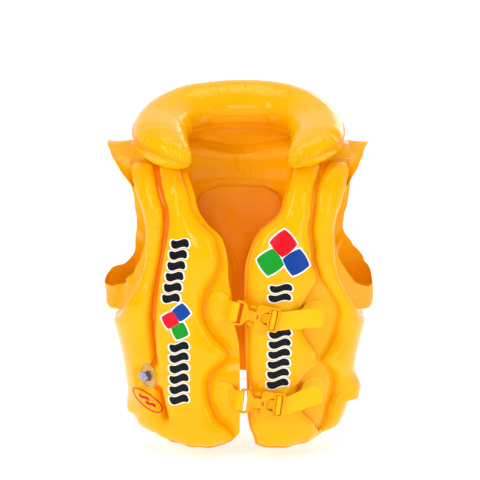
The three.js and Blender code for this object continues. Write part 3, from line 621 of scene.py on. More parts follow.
def back_half(side):
    """Turns and heights of one half of the back, from its side seam to the middle."""
    nominal = 70 + (TOP - 70) * BACK_ROWS
    seam = turn_of(outer_weld(nominal), nominal, True)
    edge = turn_of(window_edge(nominal), nominal, True)
    lobe = strip(np.maximum(arc_length(side, seam, edge, nominal), 20), LOBE_COLUMNS)
    flat = np.repeat(np.linspace(0, 1, 17)[None, 1:], len(nominal), 0)
    in_lobe, in_flat = np.s_[:, : lobe.shape[1]], np.s_[:, lobe.shape[1] :]
    z = nominal[:, None] + 0 * np.concatenate([lobe, flat], 1)
    for _ in range(4):
        seam = turn_of(outer_weld(z), z, True)
        edge = turn_of(window_edge(z), z, True)
        turn = np.concatenate([seam[in_lobe] + (edge[in_lobe] - seam[in_lobe]) * lobe,
                               edge[in_flat] + (np.pi - 1e-4 - edge[in_flat]) * flat], 1)
        x = np.abs(torso(1, turn, z)[..., 0])
        top = TOP + 30 * ease((98 - x) / 30) - 12 * np.exp(-((x / 44) ** 2))
        t = BACK_ROWS[:, None] + 0 * x
        bar = BACK_ROWS[BAR_ROW]
        z = np.where(t <= bar, back_weld(x) + (WINDOW_TOP - back_weld(x)) * t / bar,
                     WINDOW_TOP + (top - WINDOW_TOP) * (t - bar) / (1 - bar))
    x = np.abs(torso(1, turn[0], z[0])[..., 0])
    hem = [back_hem(x) + (back_weld(x) - back_hem(x)) * share for share in HEM_SHARES]
    return np.concatenate([np.repeat(turn[:1], len(hem), 0), turn], 0), np.concatenate([np.array(hem), z], 0)


def back_shell():
    half = {side: back_half(side) for side in SIDES}

    def whole(make):
        """Both halves side by side, joined at the centre column."""
        return np.concatenate([make(RIGHT), make(LEFT)[:, ::-1][:, 1:]], 1)

    turn = whole(lambda side: half[side][0])
    z = whole(lambda side: half[side][1])
    middle = whole(lambda side: torso(side, *half[side]))
    normal = whole(lambda side: torso_normal(side, *half[side]))
    centre = half[RIGHT][0].shape[1] - 1
    normal[:, centre] = unit(normal[:, centre] * np.array([0, 1, 1]))
    held = np.zeros(turn.shape, bool)
    held[: len(HEM_SHARES) + 3] = held[-3:] = True
    held[:, :3] = held[:, -3:] = True
    for part, one in ((np.s_[:, : centre + 1], RIGHT), (np.s_[:, centre:], LEFT)):
        corner_flap(middle[part], turn[part], z[part], one)
    edge_column = len(EDGE_STEPS) * 2 + LOBE_COLUMNS - 2
    bar = BAR_ROW + len(HEM_SHARES)
    held[:bar, edge_column - 2 : 2 * centre - edge_column + 3] = True
    inner = np.zeros(turn.shape, bool)
    inner[:, edge_column : 2 * centre - edge_column + 1] = True
    held[bar - 2 : bar + 2] |= inner[bar - 2 : bar + 2]
    height = membrane(middle, held)
    half_thick = puff(height, PUFF["back"])
    roll = ease((z - 312) / 10) * ease((80 - np.abs(middle[..., 0])) / 14)
    half_thick = half_thick * (1 + 0.14 * roll)
    wave = pucker(middle, height, 1.4, 21)
    hem = np.exp(-np.maximum(z - back_hem(np.abs(middle[..., 0])), 0) / 12) * 2.0 * field(middle, 22, 44)
    slack = 1.1 * field(middle, 30, 61) * held * inner
    across = middle[..., 0]
    centre_fold = 1.5 * np.exp(-((across / 11) ** 2)) * np.cos(across * 0.8)
    centre_fold *= ease((z - 322) / 26)
    centre_fold *= ease((TOP + 8 - z) / 9)
    ridge = weld_ridge(held, 0.9)
    rise = half_thick + wave + hem + slack + FILM / 2 + ridge - centre_fold * 0.4
    fall = 0.9 * half_thick - hem - slack + FILM / 2 + 0.5 * ridge - centre_fold
    out, inn = middle + normal * rise[..., None], middle - normal * fall[..., None]
    flatten(out, VALVES["back"])
    # Painted shade: deep orange by the welds on the outer face; painted cavity shade on the inner face,
    # deeper low down and in the window's left half, lighter on weld beads and the neck roll.
    deep = np.exp(-((np.sqrt(2 * height) / 3.2) ** 2)) * 0.35
    inside = 0.16 + 0.2 * ease((318 - z) / 40) + 0.16 * ease((middle[..., 0] + 12) / 30) * ease((312 - z) / 8)
    inside = np.maximum(inside - 0.4 * (ridge > 0.5), 0) * (1 - 0.75 * ease((z - 322) / 24))
    shells["back"] = {"middle": middle}
    return closed_sheet("back_shell", out, inn, deep=np.stack([deep, inside]))


# ---------- Shoulders and armholes ----------
def shoulder_grid(side, rows=26, cols=22):
    along = np.linspace(0, 1, rows)[:, None]
    share = np.linspace(0, 1, cols)[None, :]
    x = 69 + (outer_weld(TOP) - 69) * share
    front = torso(side, turn_of(x, TOP) + 0 * x, np.full_like(x, TOP))
    back = torso(side, turn_of(x, TOP, True) + 0 * x, np.full_like(x, TOP))
    p = front + (back - front) * along[..., None]
    tent = np.clip(4 * along * (1 - along), 0, 1) ** 0.6
    p[..., 2] += 0.6 + (20.5 + 9 * (1 - share)) * tent
    p[..., 2] += 1.3 * field(p, 26, 71 + side) * np.sin(np.pi * along)
    return p


def sheet_from(name, grid, thickness=FILM, ring=False):
    """A thin sheet along a grid of points."""
    down = np.gradient(grid, axis=0)
    if ring:
        down = np.roll(grid, -1, 0) - np.roll(grid, 1, 0)
    right = np.gradient(grid, axis=1)
    n = unit(np.cross(right, down))
    return closed_sheet(name, grid + n * thickness / 2, grid - n * thickness / 2, ring)


def catmull(points, count, closed=False):
    p = np.asarray(points, float)
    if closed:
        p = np.concatenate([p[-1:], p, p[:2]])
    else:
        p = np.concatenate([2 * p[:1] - p[1:2], p, 2 * p[-1:] - p[-2:-1]])
    n = len(p) - 3
    t = np.linspace(0, n, count, endpoint=not closed)
    i = np.minimum(t.astype(int), n - 1)
    u = (t - i)[:, None]
    a, b, c, d = p[i], p[i + 1], p[i + 2], p[i + 3]
    square, cube = 2 * a - 5 * b + 4 * c - d, 3 * b - 3 * c + d - a
    return 0.5 * (2 * b + (c - a) * u + square * u ** 2 + cube * u ** 3)


RIM_FRONT = [
    (165, 174, -4, 193), (180, 164, -29, 190), (203, 144, -52, 202), (218, 132, -65, 221),
    (233, 125, -72, 237), (263, 121, -77, 263), (293, 125, -75, 297), (316, 134, -65, 318),
    (338, 154, -50, 343), (357, 166, -26, 363),
]
RIM_TOP = [(0.4, 171, -6, 376), (0.5, 172, 1, 377), (0.6, 170, 10, 376)]
RIM_BACK = [
    (357, 161, 48, 363), (338, 153, 67, 340), (316, 147, 80, 316), (293, 143, 86, 291),
    (263, 141, 87, 263), (233, 144, 80, 244), (218, 150, 69, 234), (203, 160, 54, 226),
    (180, 170, 28, 208),
]


def rim_point(side, x, y, z):
    """The two sides' rims don't hang quite alike."""
    if side > 0:
        x -= 6 * ease((z - 325) / 15)
    else:
        low = np.exp(-(((z - 228) / 16) ** 2)) * (y > 0)
        x, z = x - 7 * low, z - 13 * low
    return side * x, y, z


def armhole_hem(side):
    shoulder = shoulder_grid(side)
    stations = []
    for z, *rim in RIM_FRONT:
        stations.append((torso(side, turn_of(outer_weld(z), z), np.float64(z)), rim))
    for along, *rim in RIM_TOP:
        stations.append((shoulder[int(round(along * (len(shoulder) - 1))), -1], rim))
    for z, *rim in RIM_BACK:
        stations.append((torso(side, turn_of(outer_weld(z), z, True), np.float64(z)), rim))
    weld = catmull([s[0] for s in stations], 220, True)
    rim = catmull([rim_point(side, *s[1]) for s in stations], 220, True)
    t = np.linspace(0, 1, 15)[None, :, None]
    grid = weld[:, None] * (1 - t) + rim[:, None] * t
    span = np.linalg.norm(rim - weld, axis=-1)[:, None]
    out = np.array([side, 0, 0.3])
    flop = t[..., 0] ** 1.4 * np.minimum(span, 26)
    ripple = 0.15 * field(grid, 15, 81 + side) + 0.18 * field(grid, 30, 85 + side)
    face = unit(np.cross(np.gradient(weld, axis=0), rim - weld))[:, None]
    grid = grid + (flop * ripple)[..., None] * unit(out + 0.8 * face)
    bow = np.sin(np.pi * t[..., 0])
    low = np.exp(-(((weld[:, 2:3] - 156) / 20) ** 2)) * bow
    grid[..., 0] += side * 12 * low
    grid[..., 2] -= 0.05 * bow * span + 12 * low
    return sheet_from(f"{SIDES[side]}_armhole_hem_film", grid, ring=True)


# ---------- Head collar ----------
COLLAR_OUT = [
    (0, 85, 454), (38, 84, 452), (73, 77, 446), (103, 60, 434), (125, 35, 419), (138, 5, 403),
    (140, -22, 393), (137, -50, 384), (126, -75, 374.5), (109, -92, 367), (91, -102, 361),
    (75, -107, 356),
]
COLLAR_IN = [
    (0, 55, 401), (22, 54, 400.5), (42, 48, 399), (57, 33, 395), (66, 14, 390), (70, -7, 385),
    (69.5, -30, 379), (67.5, -52, 373), (65, -72, 366), (62.5, -88, 360), (63, -100, 356),
    (71, -107, 355),
]


def collar_pillow():
    halves = []
    for seam in (COLLAR_OUT, COLLAR_IN):
        whole = catmull([(-x, y, z) for x, y, z in seam[::-1]] + list(seam[1:]), 1201)
        whole[:, 0] *= np.where(whole[:, 0] > 100, 0.972, 1 - 0.028 * np.clip(whole[:, 0], 0, 100) / 100)
        halves.append(whole)
    outer, inner = halves
    shells["collar"] = {"inner": inner.copy(), "outer": outer}
    band = np.exp(-((inner[:, 0] / 66) ** 8)) * (inner[:, 1] > -20)
    inner = inner + (unit(inner - outer) * np.array([1, 0.4, 1])) * (1.5 + 7.5 * band)[:, None]
    spine = (outer + inner) / 2
    length = np.concatenate([[0], np.cumsum(np.linalg.norm(np.diff(spine, axis=0), axis=1))])
    dense = np.concatenate([[0, 0.8, 1.8, 3.2, 5.0], np.linspace(7, length[-1] - 7, 400)])
    even = np.concatenate([dense, length[-1] - dense[:5][::-1]])
    at = np.interp(even, length, np.arange(1201))
    low = np.minimum(at.astype(int), 1199)
    part = (at - low)[:, None]
    outer = outer[low] * (1 - part) + outer[low + 1] * part
    inner = inner[low] * (1 - part) + inner[low + 1] * part
    near = np.array([0, 0.014, 0.03, 0.052, 0.082, 0.12])
    t = np.concatenate([near, np.linspace(0.16, 0.84, 25), 1 - near[::-1]])[None, :, None]
    middle = outer[:, None] * (1 - t) + inner[:, None] * t
    down = np.gradient(middle, axis=0)
    over = (inner - outer)[:, None] + 0 * middle
    normal = unit(np.cross(down, over))
    normal *= np.sign(normal[len(normal) // 2, 15][2])
    for _ in range(14):
        normal[1:-1] = unit(normal[1:-1] + 0.5 * (normal[:-2] + normal[2:]))
    held = np.zeros(middle.shape[:2], bool)
    held[:, :2] = held[:, -2:] = True
    held[:2] = held[-2:] = True
    held[:, -5:] |= (np.abs(middle[:, -1:, 0]) < 62) & (middle[:, -1:, 1] > -10)
    height = membrane(middle, held)
    radius = np.sqrt(2 * height)
    half = 37 * np.tanh(radius / 37)
    reach = np.minimum(even, length[-1] - even)[:, None]
    ends = 1 - ease((reach - 45) / 50)
    rear = np.exp(-(((even - length[-1] / 2) / 75) ** 2))[:, None]
    along = np.stack([even[:, None] + 0 * radius, 0.22 * radius, 0 * radius], -1)
    crease = field(along, 7.0, 91) + 0.8 * field(along, 13, 92)
    by_outer = t[..., 0] < 0.5
    near_seam = np.exp(-radius / 12) * ease(radius / 5)
    top_crease = np.exp(-(((radius - 17) / 8) ** 2)) * by_outer * rear
    rough = near_seam * np.where(by_outer, 0.4 + 2.0 * ends, 0.5 + 1.1 * ends) + 0.5 * top_crease
    wave = 1.9 * rough * crease + 0.7 * field(middle, 55, 93) * ease(radius / 14)
    run = even[:, None] + 0 * radius
    front = gathers(reach - 62 * t[..., 0], 10, 96) * np.exp(-np.maximum(radius - 9, 0) / 8)
    front *= ease(radius / 6)
    lobe = front * np.where(by_outer | (reach < 22), 1, 0.25) * ends
    rear_top = gathers(run + 0.1 * radius, 8, 98) * np.exp(-(((radius - 21) / 9) ** 2)) * by_outer * rear
    wave -= 3.4 * lobe + 1.4 * rear_top
    lip = weld_ridge(held, 0.35)
    out = middle + normal * (half + wave + 0.5 + lip)[..., None]
    inn = middle - normal * (0.95 * half + 0.8 * wave + 0.5 + lip)[..., None]
    flatten(inn, VALVES["collar"])
    # Painted shade: both faces turn deep orange close to the seams.
    deep = np.exp(-((radius / 3.0) ** 2)) * 0.35
    return closed_sheet("head_collar", out, inn, auto_angle=60, deep=np.stack([deep, deep]))


def neckline_sheet():
    back = shells["back"]
    row = back["middle"][-1]
    low = row[np.abs(row[:, 0]) < 84]
    x = low[:, 0]
    inner, outer = shells["collar"]["inner"], shells["collar"]["outer"]
    seam = inner * 0.72 + outer * 0.28
    seam = seam[seam[:, 1] > -10]
    order = np.argsort(seam[:, 0])
    reach = x / 84 * min(74, seam[:, 0].max())
    y = np.interp(reach, seam[order, 0], seam[order, 1])
    z = np.interp(reach, seam[order, 0], seam[order, 2])
    high = np.stack([reach, y + 10, z - 6], 1)
    t = np.linspace(0, 1, 16)[None, :, None]
    grid = low[:, None] * (1 - t) + high[:, None] * t
    bow = np.sin(np.pi * t[..., 0])
    grid[..., 1] += 1.4 * field(grid, 12, 95) * bow
    return sheet_from("neckline_sheet", grid)


# ---------- Buckles, tabs and straps ----------
BUCKLES = {"upper": {"at": (21.75, 165.44), "lean": 12.5}, "lower": {"at": (28.5, 55.272), "lean": 8.0}}
BUCKLE_Y = -135.0
FOLD_Y = 128.0
TAB_HALF = 12.2
PADS = {
    "upper": {"tab": (-26.0, 175.8), "tab_half": 19.5, "tab_reach": 13.5,
              "strap": (95.5, 163.2), "strap_half": 19.0, "strap_reach": 15.0},
    "lower": {"tab": (-19.5, 62.0), "tab_half": 18.0, "tab_reach": 13.5,
              "strap": (95.0, 68.5), "strap_half": 17.0, "strap_reach": 14.0},
}


def buckle_place(name):
    """The turn and place of a buckle: local X towards the left strap, -Y out, Z across the strap."""
    x, z = BUCKLES[name]["at"]
    yaw = math.atan2(x, FOLD_Y - BUCKLE_Y)
    turn = Matrix.Rotation(yaw, 3, "Z") @ Matrix.Rotation(math.radians(BUCKLES[name]["lean"]), 3, "Y")
    return np.array(turn), np.array([x, BUCKLE_Y, z])


def bevelled(node, name, width=0.5):
    """A copy of a hard node with its edges rounded."""
    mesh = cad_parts[node].data.copy()
    mesh.name = name
    b = bmesh.new()
    b.from_mesh(mesh)
    bmesh.ops.remove_doubles(b, verts=b.verts, dist=2e-6)
    bmesh.ops.dissolve_limit(b, angle_limit=math.radians(1.5), verts=b.verts, edges=b.edges)
    edges = [e for e in b.edges if len(e.link_faces) == 2 and e.calc_face_angle(0) > math.radians(30)]
    bmesh.ops.bevel(b, geom=edges, offset=width * MM, offset_type="OFFSET", segments=2, profile=0.6,
                    affect="EDGES", clamp_overlap=True)
    b.to_mesh(mesh)
    b.free()
    mesh.materials.clear()
    return new_object(name, mesh, 38)


def tree_of(*objects):
    points, faces, count = [], [], 0
    for obj in objects:
        points += [v.co[:] for v in obj.data.vertices]
        faces += [[i + count for i in p.vertices] for p in obj.data.polygons]
        count = len(points)
    return BVHTree.FromPolygons(points, faces)


def face_depth(tree, x, z, otherwise=-100.0):
    """How far forward a shell's face is at x and z, seen from the front."""
    hit = tree.ray_cast(Vector((x * MM, -0.4, z * MM)), Vector((0, 1, 0)), 0.36)[0]
    return hit[1] / MM if hit is not None else otherwise


def ribbon_grids(path, across, half, thickness, outward, cols=13):
    """Front and back grids of a strip along a path. across and half may change along it."""
    tangent = unit(np.gradient(path, axis=0))
    normal = unit(np.cross(across, tangent)) * outward
    v = np.linspace(-1, 1, cols)
    v = np.sign(v) * np.abs(v) ** 0.8
    edge = 0.5 * thickness * (1 - np.abs(v) ** 10) ** 0.5 + 0.02
    middle = path[:, None] + across[:, None] * (v[None, :, None] * half[:, None, None])
    lift = normal[:, None] * edge[None, :, None]
    return middle + lift, middle - lift, v, normal


def local_path(turn, at, stations):
    return at + np.array([(x, y, 0) for x, y in stations]) @ turn.T


def lay_on(tree, grid, share, lift):
    """Moves a grid's points forward or back, so that they lie lift above the shell where share is 1."""
    flat = grid.reshape(-1, 3)
    depth = np.array([face_depth(tree, p[0], p[2], p[1]) for p in flat]).reshape(grid.shape[:2])
    out = grid.copy()
    out[..., 1] = grid[..., 1] * (1 - share) + (depth - lift) * share
    return out


def clear_run(tree, path, across, half, lift):
    """Pulls a path forward so that a flat strip along it clears the shell."""
    depth = []
    for p, a in zip(path, across):
        spots = [p + a * half * v for v in (-1, -0.5, 0, 0.5, 1)]
        depth.append(min(face_depth(tree, s[0], s[2], 0.0) for s in spots))
    depth = np.array(depth)
    wide = np.array([depth[max(0, i - 2) : i + 3].min() for i in range(len(depth))])
    for _ in range(3):
        wide[1:-1] = np.minimum(wide[1:-1], (wide[:-2] + wide[2:]) / 2)
    return wide - lift


def round_end(far, over):
    """A strip's share of its full width, at a distance from its rounded end."""
    return np.sqrt(np.clip(1 - (1 - np.clip(far / over, 0, 1)) ** 2, 0.0004, 1))


def lay_pad(tree, front, back, out, on_shell):
    """Lays a strip's pad on the shell. out is how far its face stands out along its normals."""
    return lay_on(tree, front, on_shell, 1.2) + out, lay_on(tree, back, on_shell, 0.2)


def receiver_tab(name, tree):
    turn, at = buckle_place(name)
    pad = PADS[name]
    across_bar = turn[:, 2]
    loop = local_path(turn, at, [
        (-34, 1.0), (-31.6, -0.9), (-29.6, -2.3), (-27.5, -2.8), (-25.7, -2.2), (-24.75, -0.4), (-25.0, 1.6),
        (-27.0, 2.9), (-30.5, 3.4), (-34, 4.2),
    ])
    px, pz = pad["tab"]
    start = np.array([px - pad["tab_reach"], 0, pz])
    stations = [start + (loop[0] - start) * t for t in np.linspace(0, 0.72, 9)]
    path = np.array([[s[0], 0, s[2]] for s in stations])
    flat_across = np.array([0, 0, 1.0])
    path[:, 1] = clear_run(tree, path, np.repeat(flat_across[None], len(path), 0), 11, 1.2)
    whole = catmull(np.concatenate([path, loop]), 130)
    n = len(whole)
    far = np.linalg.norm(whole[:, [0, 2]] - start[[0, 2]], axis=1)
    order = np.arange(n)
    turning = int(n * len(path) / (len(path) + len(loop)))
    blend = ease((order - turning * 0.6) / (turning * 0.5))[:, None]
    across = unit(flat_across * (1 - blend) + across_bar * blend)
    reach = 2 * pad["tab_reach"]
    taper = TAB_HALF + (pad["tab_half"] - TAB_HALF) * (1 - ease((far - reach * 0.45) / (reach * 0.75)))
    half = np.where(order < turning, round_end(far, reach * 0.42) * taper, TAB_HALF)
    front, back, v, normal = ribbon_grids(whole, across, half, 1.2, -1, 25)
    before_bar = (order < turning)[:, None]
    on_shell = (1 - ease((far - reach * 0.85) / (reach * 0.3)))[:, None] * before_bar * np.ones_like(v)[None]
    ex = (far[:, None] - reach * 0.5) / 8.0
    ez = (v[None] * half[:, None]) / 13.0
    oval = np.sqrt(ex ** 2 + ez ** 2)
    bead = 0.5 * np.exp(-(((oval - 1.22) / 0.09) ** 2))
    emboss = (1.1 * (1 - ease((oval - 0.86) / 0.18)) + bead) * before_bar
    rim = 0.5 * np.exp(-(((1 - np.abs(v[None])) * half[:, None] / 1.3 - 1) ** 2)) * on_shell
    front, back = lay_pad(tree, front, back, normal[:, None] * (emboss + rim)[..., None], on_shell)
    return closed_sheet(f"{name}_tab_with_pad", front, back, auto_angle=50)


def adjusting_strap(name, tree):
    turn, at = buckle_place(name)
    pad = PADS[name]
    across_bar = turn[:, 2]
    px, pz = pad["strap"]
    loop = local_path(turn, at, [
        (33, 4.6), (29, 4.3), (24.5, 4.1), (20.6, 3.7), (18.0, 2.8), (17.2, 0.8), (17.3, -1.2), (18.4, -2.5),
        (20.2, -2.85), (22.0, -2.5), (23.0, -1.2), (23.2, 0.8), (24.6, 2.25), (27.2, 2.5), (30.5, 2.45),
    ])
    end = np.array([px + pad["strap_reach"], 0, pz])
    leave = loop[0]
    run = np.array([end + (leave - end) * t for t in np.linspace(0, 0.86, 14)])
    side_on = unit(np.cross(unit(leave - end) * np.array([1, 0, 1]), np.array([0, 1.0, 0])))
    side_on = side_on * np.sign(side_on[2])
    run[:, 1] = clear_run(tree, run, np.repeat(side_on[None], len(run), 0), 11, 1.3)
    run[:, 1] = np.minimum(run[:, 1], leave[1] + 3.5)
    back_out = np.array([loop[-1] + (end - loop[-1]) * t for t in np.linspace(0.14, 0.9, 11)])
    over = np.interp(back_out[:, 0], run[::-1, 0], run[::-1, 1])
    back_out[:, 1] = over - 1.9
    whole = catmull(np.concatenate([run, loop, back_out]), 240)
    n = len(whole)
    total = len(run) + len(loop) + len(back_out)
    first = int(n * len(run) / total)
    last = int(n * (len(run) + len(loop)) / total)
    order = np.arange(n)
    leaving = 1 - ease((order - last) / ((n - last) * 0.6))
    blend = (ease((order - first * 0.5) / (first * 0.5)) * leaving)[:, None]
    across = unit(side_on * (1 - blend) + across_bar * blend)
    far = np.linalg.norm(whole[:, [0, 2]] - end[[0, 2]], axis=1)
    reach = 2 * pad["strap_reach"]
    pad_half = TAB_HALF + (pad["strap_half"] - TAB_HALF) * (1 - ease((far - reach * 0.45) / (reach * 0.8)))
    tail = order > last
    to_tail = np.linalg.norm(whole[:, [0, 2]] - whole[-1, [0, 2]], axis=1)
    past_pad = np.where(tail, 11.9 * round_end(to_tail, 7.5), 12.0)
    half = np.where(order < first, round_end(far, reach * 0.46) * pad_half, past_pad)
    front, back, v, normal = ribbon_grids(whole, across, half, 1.0, -1, 21)
    loading = (order < first)[:, None]
    on_shell = (1 - ease((far - reach * 0.8) / (reach * 0.35)))[:, None] * loading * np.ones_like(v)[None]
    ex = (far[:, None] - reach * 0.5) / (reach * 0.36)
    ez = (v[None] * half[:, None]) / (pad["strap_half"] - 5.5)
    oval = np.sqrt(ex ** 2 + ez ** 2)
    emboss = 0.55 * np.exp(-(((oval - 1.08) / 0.08) ** 2)) * loading
    rim = 0.5 * np.exp(-(((1 - np.abs(v[None])) * half[:, None] / 1.3 - 1) ** 2)) * on_shell
    front, back = lay_pad(tree, front, back, normal[:, None] * (emboss + rim)[..., None], on_shell)
    loose = ((order > last + 20) | (order < first - 10))[:, None]
    bow = 0.5 * field(np.repeat(whole[:, None], 21, 1) + v[None, :, None] * 12, 16, 7) * loose
    bow = bow * (1 - on_shell)
    bow[-1] = bow[-2]
    push = np.array([0, -1.0, 0]) * np.abs(bow)[..., None]
    return closed_sheet(f"{name}_adjusting_strap", front + push, back + push, auto_angle=50)


# ---------- Valves ----------
def lathe(profile, count=56):
    """A closed body turned round Z from a closed loop of (radius, height)."""
    radius, height = np.array(profile, float).T
    turns = np.linspace(0, 2 * np.pi, count, endpoint=False)[:, None]
    points = np.stack([radius * np.cos(turns), radius * np.sin(turns), height + 0 * turns], -1)
    m = len(radius)
    faces = []
    for i in range(count):
        here, there = i * m, (i + 1) % count * m
        for j in range(m):
            after = (j + 1) % m
            faces.append([here + j, here + after, there + after, there + j])
    return points.reshape(-1, 3), faces


def lug(x0, x1, half, low, high):
    """A flat closed tab from x0 to x1, rounded at x1."""
    u = np.linspace(0, 1, 17)[:, None]
    v = np.linspace(-1, 1, 9)[None, :]
    end = np.clip((1 - u) * np.abs(x1 - x0) / half, 0, 1)
    x = x0 + (x1 - x0) * u + 0 * v
    y = half * np.sqrt(np.clip(1 - (1 - end) ** 2, 0.001, 1)) * v
    soft = 0.5 * (high - low) * (1 - np.abs(v) ** 6) ** 0.5 + 0 * u
    mid = (low + high) / 2
    return solid_arrays(np.stack([x, y, mid + soft], -1), np.stack([x, y, mid - soft], -1))


def rounded(inner, outer, low, high, r):
    """A ring's loop of (radius, height) with rounded outer corners."""
    arc = np.linspace(0, np.pi / 2, 4)
    top = [(outer - r + r * math.cos(a), high - r + r * math.sin(a)) for a in arc]
    bottom = [(outer - r + r * math.sin(a), low + r - r * math.cos(a)) for a in arc]
    return bottom + top + [(inner, high), (inner, low)]


STEM_WALL = [
    (3.5, -8.8), (5.6, -8.8), (6.1, -8.2), (6.1, 2.2), (5.5, 2.8), (5.5, 5.4), (6.3, 6.1), (6.5, 7.2),
    (6.0, 7.8), (5.2, 8.0), (3.9, 8.0), (3.5, 7.4),
]
PLUG_CAP = [
    (0.05, 4.6), (1.9, 4.6), (2.2, 4.9), (3.0, 8.3), (5.5, 8.35), (6.1, 8.8), (6.1, 9.4), (5.6, 9.9),
    (3.6, 10.05), (3.1, 9.6), (0.05, 9.5),
]
PLUG_TIP = [(0.05, 9.4), (1.5, 9.4), (1.7, 10.0), (1.3, 10.4), (0.05, 10.5)]


def valve_bodies():
    """The closed bodies of each part of a valve, on its own axes, with Z out of the chamber."""
    return {
        "seat": [lathe(rounded(6.7, 15.6, 0.25, 0.95, 0.3)), lathe(rounded(14.2, 15.9, 0.3, 1.75, 0.5)),
                 lathe(rounded(6.7, 8.4, 0.3, 1.25, 0.4))],
        "stem": [lathe(STEM_WALL), lug(5.4, 8.5, 2.3, 6.0, 7.6)],
        "flap": [lathe(rounded(0.05, 5.0, -9.8, -9.1, 0.2))],
        "plug": [lathe(PLUG_CAP), lug(-5.0, -11.4, 2.8, 8.7, 9.6), lug(5.2, 8.6, 1.7, 8.7, 9.5),
                 lathe(PLUG_TIP, 24)],
    }


def air_valve(name):
    valve = VALVES[name]
    z = unit(np.array(valve["z"], float))
    x = unit(np.array(valve["x"], float))
    turn = np.stack([x, np.cross(z, x), z], 1)
    rides = {"seat": valve["body"], "plug": f"{name}_plug"}
    made = {}
    for part, bodies in valve_bodies().items():
        bundle = Bundle()
        for points, faces in bodies:
            bundle.add(points @ turn.T + np.array(valve["at"]), faces)
        made[part] = bundle.build(f"{name}_air_valve_{part}")
        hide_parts(f"{name}_valve_{part}")
        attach(made[part], rides.get(part, f"{name}_valve"))
    return made


# ---------- Prints ----------
def printed(bundle, tree, xs, zs, lift):
    """Lays a grid of x and z places on a shell's face as a thin closed skin."""
    depth = np.array([face_depth(tree, x, z) for x, z in zip(xs.ravel(), zs.ravel())]).reshape(xs.shape)
    front = np.stack([xs, depth - lift, zs], -1)
    back = np.stack([xs, depth - lift + 0.14, zs], -1)
    bundle.add(*solid_arrays(front, back))


def turned(a, b, centre, angle):
    c, s = math.cos(math.radians(angle)), math.sin(math.radians(angle))
    return centre[0] + a * c - b * s, centre[1] + a * s + b * c


def wave_bar(bundle, tree, centre, length, thickness, angle, bow, lift):
    """A short bar in the shape of a wave's crest."""
    u = np.linspace(-1, 1, max(9, int(length / 1.3)))[:, None]
    v = np.linspace(-1, 1, 9)[None, :]
    half = thickness / 2 * (1 - np.abs(u) ** 7 * 0.97) ** 0.5
    a = u * length / 2 + 0 * v
    b = half * v + bow * np.sin(u * np.pi * 0.95)
    printed(bundle, tree, *turned(a, b, centre, angle), lift)


def tile(bundle, tree, centre, size, angle, lift):
    """A square tile with soft, slightly waisted sides."""
    u = np.linspace(-1, 1, 19)[:, None]
    v = np.linspace(-1, 1, 19)[None, :]
    a = u * np.sqrt(1 - 0.22 * v ** 2) * size / 2
    b = v * np.sqrt(1 - 0.22 * u ** 2) * size / 2
    printed(bundle, tree, *turned(a, b, centre, angle), lift)


WAVES = {
    "right": [((-87.0, 186.0), (-75.5, 255.0), 6, 23.0), ((-77.5, 56.0), (-77.0, 124.0), 6, 25.0)],
    "left": [((50.0, 187.5), (51.5, 199.5), 2, 29.0), ((47.5, 78.0), (50.5, 142.0), 6, 28.0)],
}
TILES = {
    "right": [("red", (-88.0, 158.0), 19, 30), ("blue", (-74.0, 168.5), 19, 38),
              ("green", (-76.0, 144.5), 19, 24)],
    "left": [("red", (54.5, 256.0), 28, 40), ("green", (38.0, 232.5), 28, 34),
             ("blue", (70.5, 232.0), 28, 30)],
}
UNDER, LINE, OVER = 0.30, 0.40, 0.50  # how far each layer of ink stands off the shell


def ring(bundle, tree, centre, length, height, stroke, angle, lift):
    """A flat oval ring."""
    u = np.linspace(0, 2 * np.pi, 61)[:, None]
    v = np.linspace(-0.5, 0.5, 4)[None, :] * stroke
    a, b = (length / 2 + v) * np.cos(u), (height / 2 + v) * np.sin(u)
    printed(bundle, tree, *turned(a, b, centre, angle), lift)


def prints(side_name, tree):
    bundles = {colour: Bundle() for colour in ("white", "black", "red", "green", "blue")}
    for start, end, count, length in WAVES[side_name]:
        start, end = np.array(start), np.array(end)
        run = end - start
        pitch = np.linalg.norm(run) / max(count - 1, 1) if count > 1 else 11.5
        angle = math.degrees(math.atan2(run[1], run[0])) - 90
        for i in range(count):
            centre = start + run * (i / (count - 1) if count > 1 else 0.5)
            wave_bar(bundles["white"], tree, centre, length + 4, pitch * 0.92, angle, 2.4, UNDER)
            wave_bar(bundles["black"], tree, centre, length, pitch * 0.92 - 2.6, angle, 2.4, OVER)
    for colour, centre, size, angle in TILES[side_name]:
        tile(bundles["white"], tree, centre, size + 3.6, angle, UNDER)
        tile(bundles[colour], tree, centre, size, angle, OVER)
    if side_name == "right":
        ring(bundles["red"], tree, (-119.0, 49.0), 45, 17, 1.7, -33, LINE)
        for centre in ((-123.5, 53.0), (-114.5, 45.0)):
            wave_bar(bundles["red"], tree, centre, 15, 3.6, -33, 1.6, LINE)
    made = {}
    for colour, bundle in bundles.items():
        if bundle.count:
            made[colour] = bundle.build(f"{side_name}_print_{colour}", 60)
            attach(made[colour], f"{side_name}_half")
    return made


# ---------- Build ----------
right_shell = front_shell(RIGHT)
left_shell = front_shell(LEFT)
back = back_shell()
collar = collar_pillow()
neckline = neckline_sheet()
hems = {side: armhole_hem(side) for side in SIDES}
shoulders = {side: sheet_from(f"{name}_shoulder_sheet", shoulder_grid(side)) for side, name in SIDES.items()}
trees = {"right": tree_of(right_shell), "left": tree_of(left_shell)}
tabs = {name: receiver_tab(name, trees["right"]) for name in BUCKLES}
straps = {name: adjusting_strap(name, trees["left"]) for name in BUCKLES}
valves = {name: air_valve(name) for name in VALVES}
printing = {name: prints(name, trees[name]) for name in ("right", "left")}
buckles = []
for name in BUCKLES:
    for part, body in (("buckle_receiver", "right_half"), ("buckle_tongue", f"{name}_tongue"),
                       ("top_latch_arm", f"{name}_top_arm"), ("bottom_latch_arm", f"{name}_bottom_arm")):
        obj = bevelled(f"{name}_{part}", f"{name}_{part}_moulded")
        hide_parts(f"{name}_{part}")
        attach(obj, body)
        buckles.append(obj)


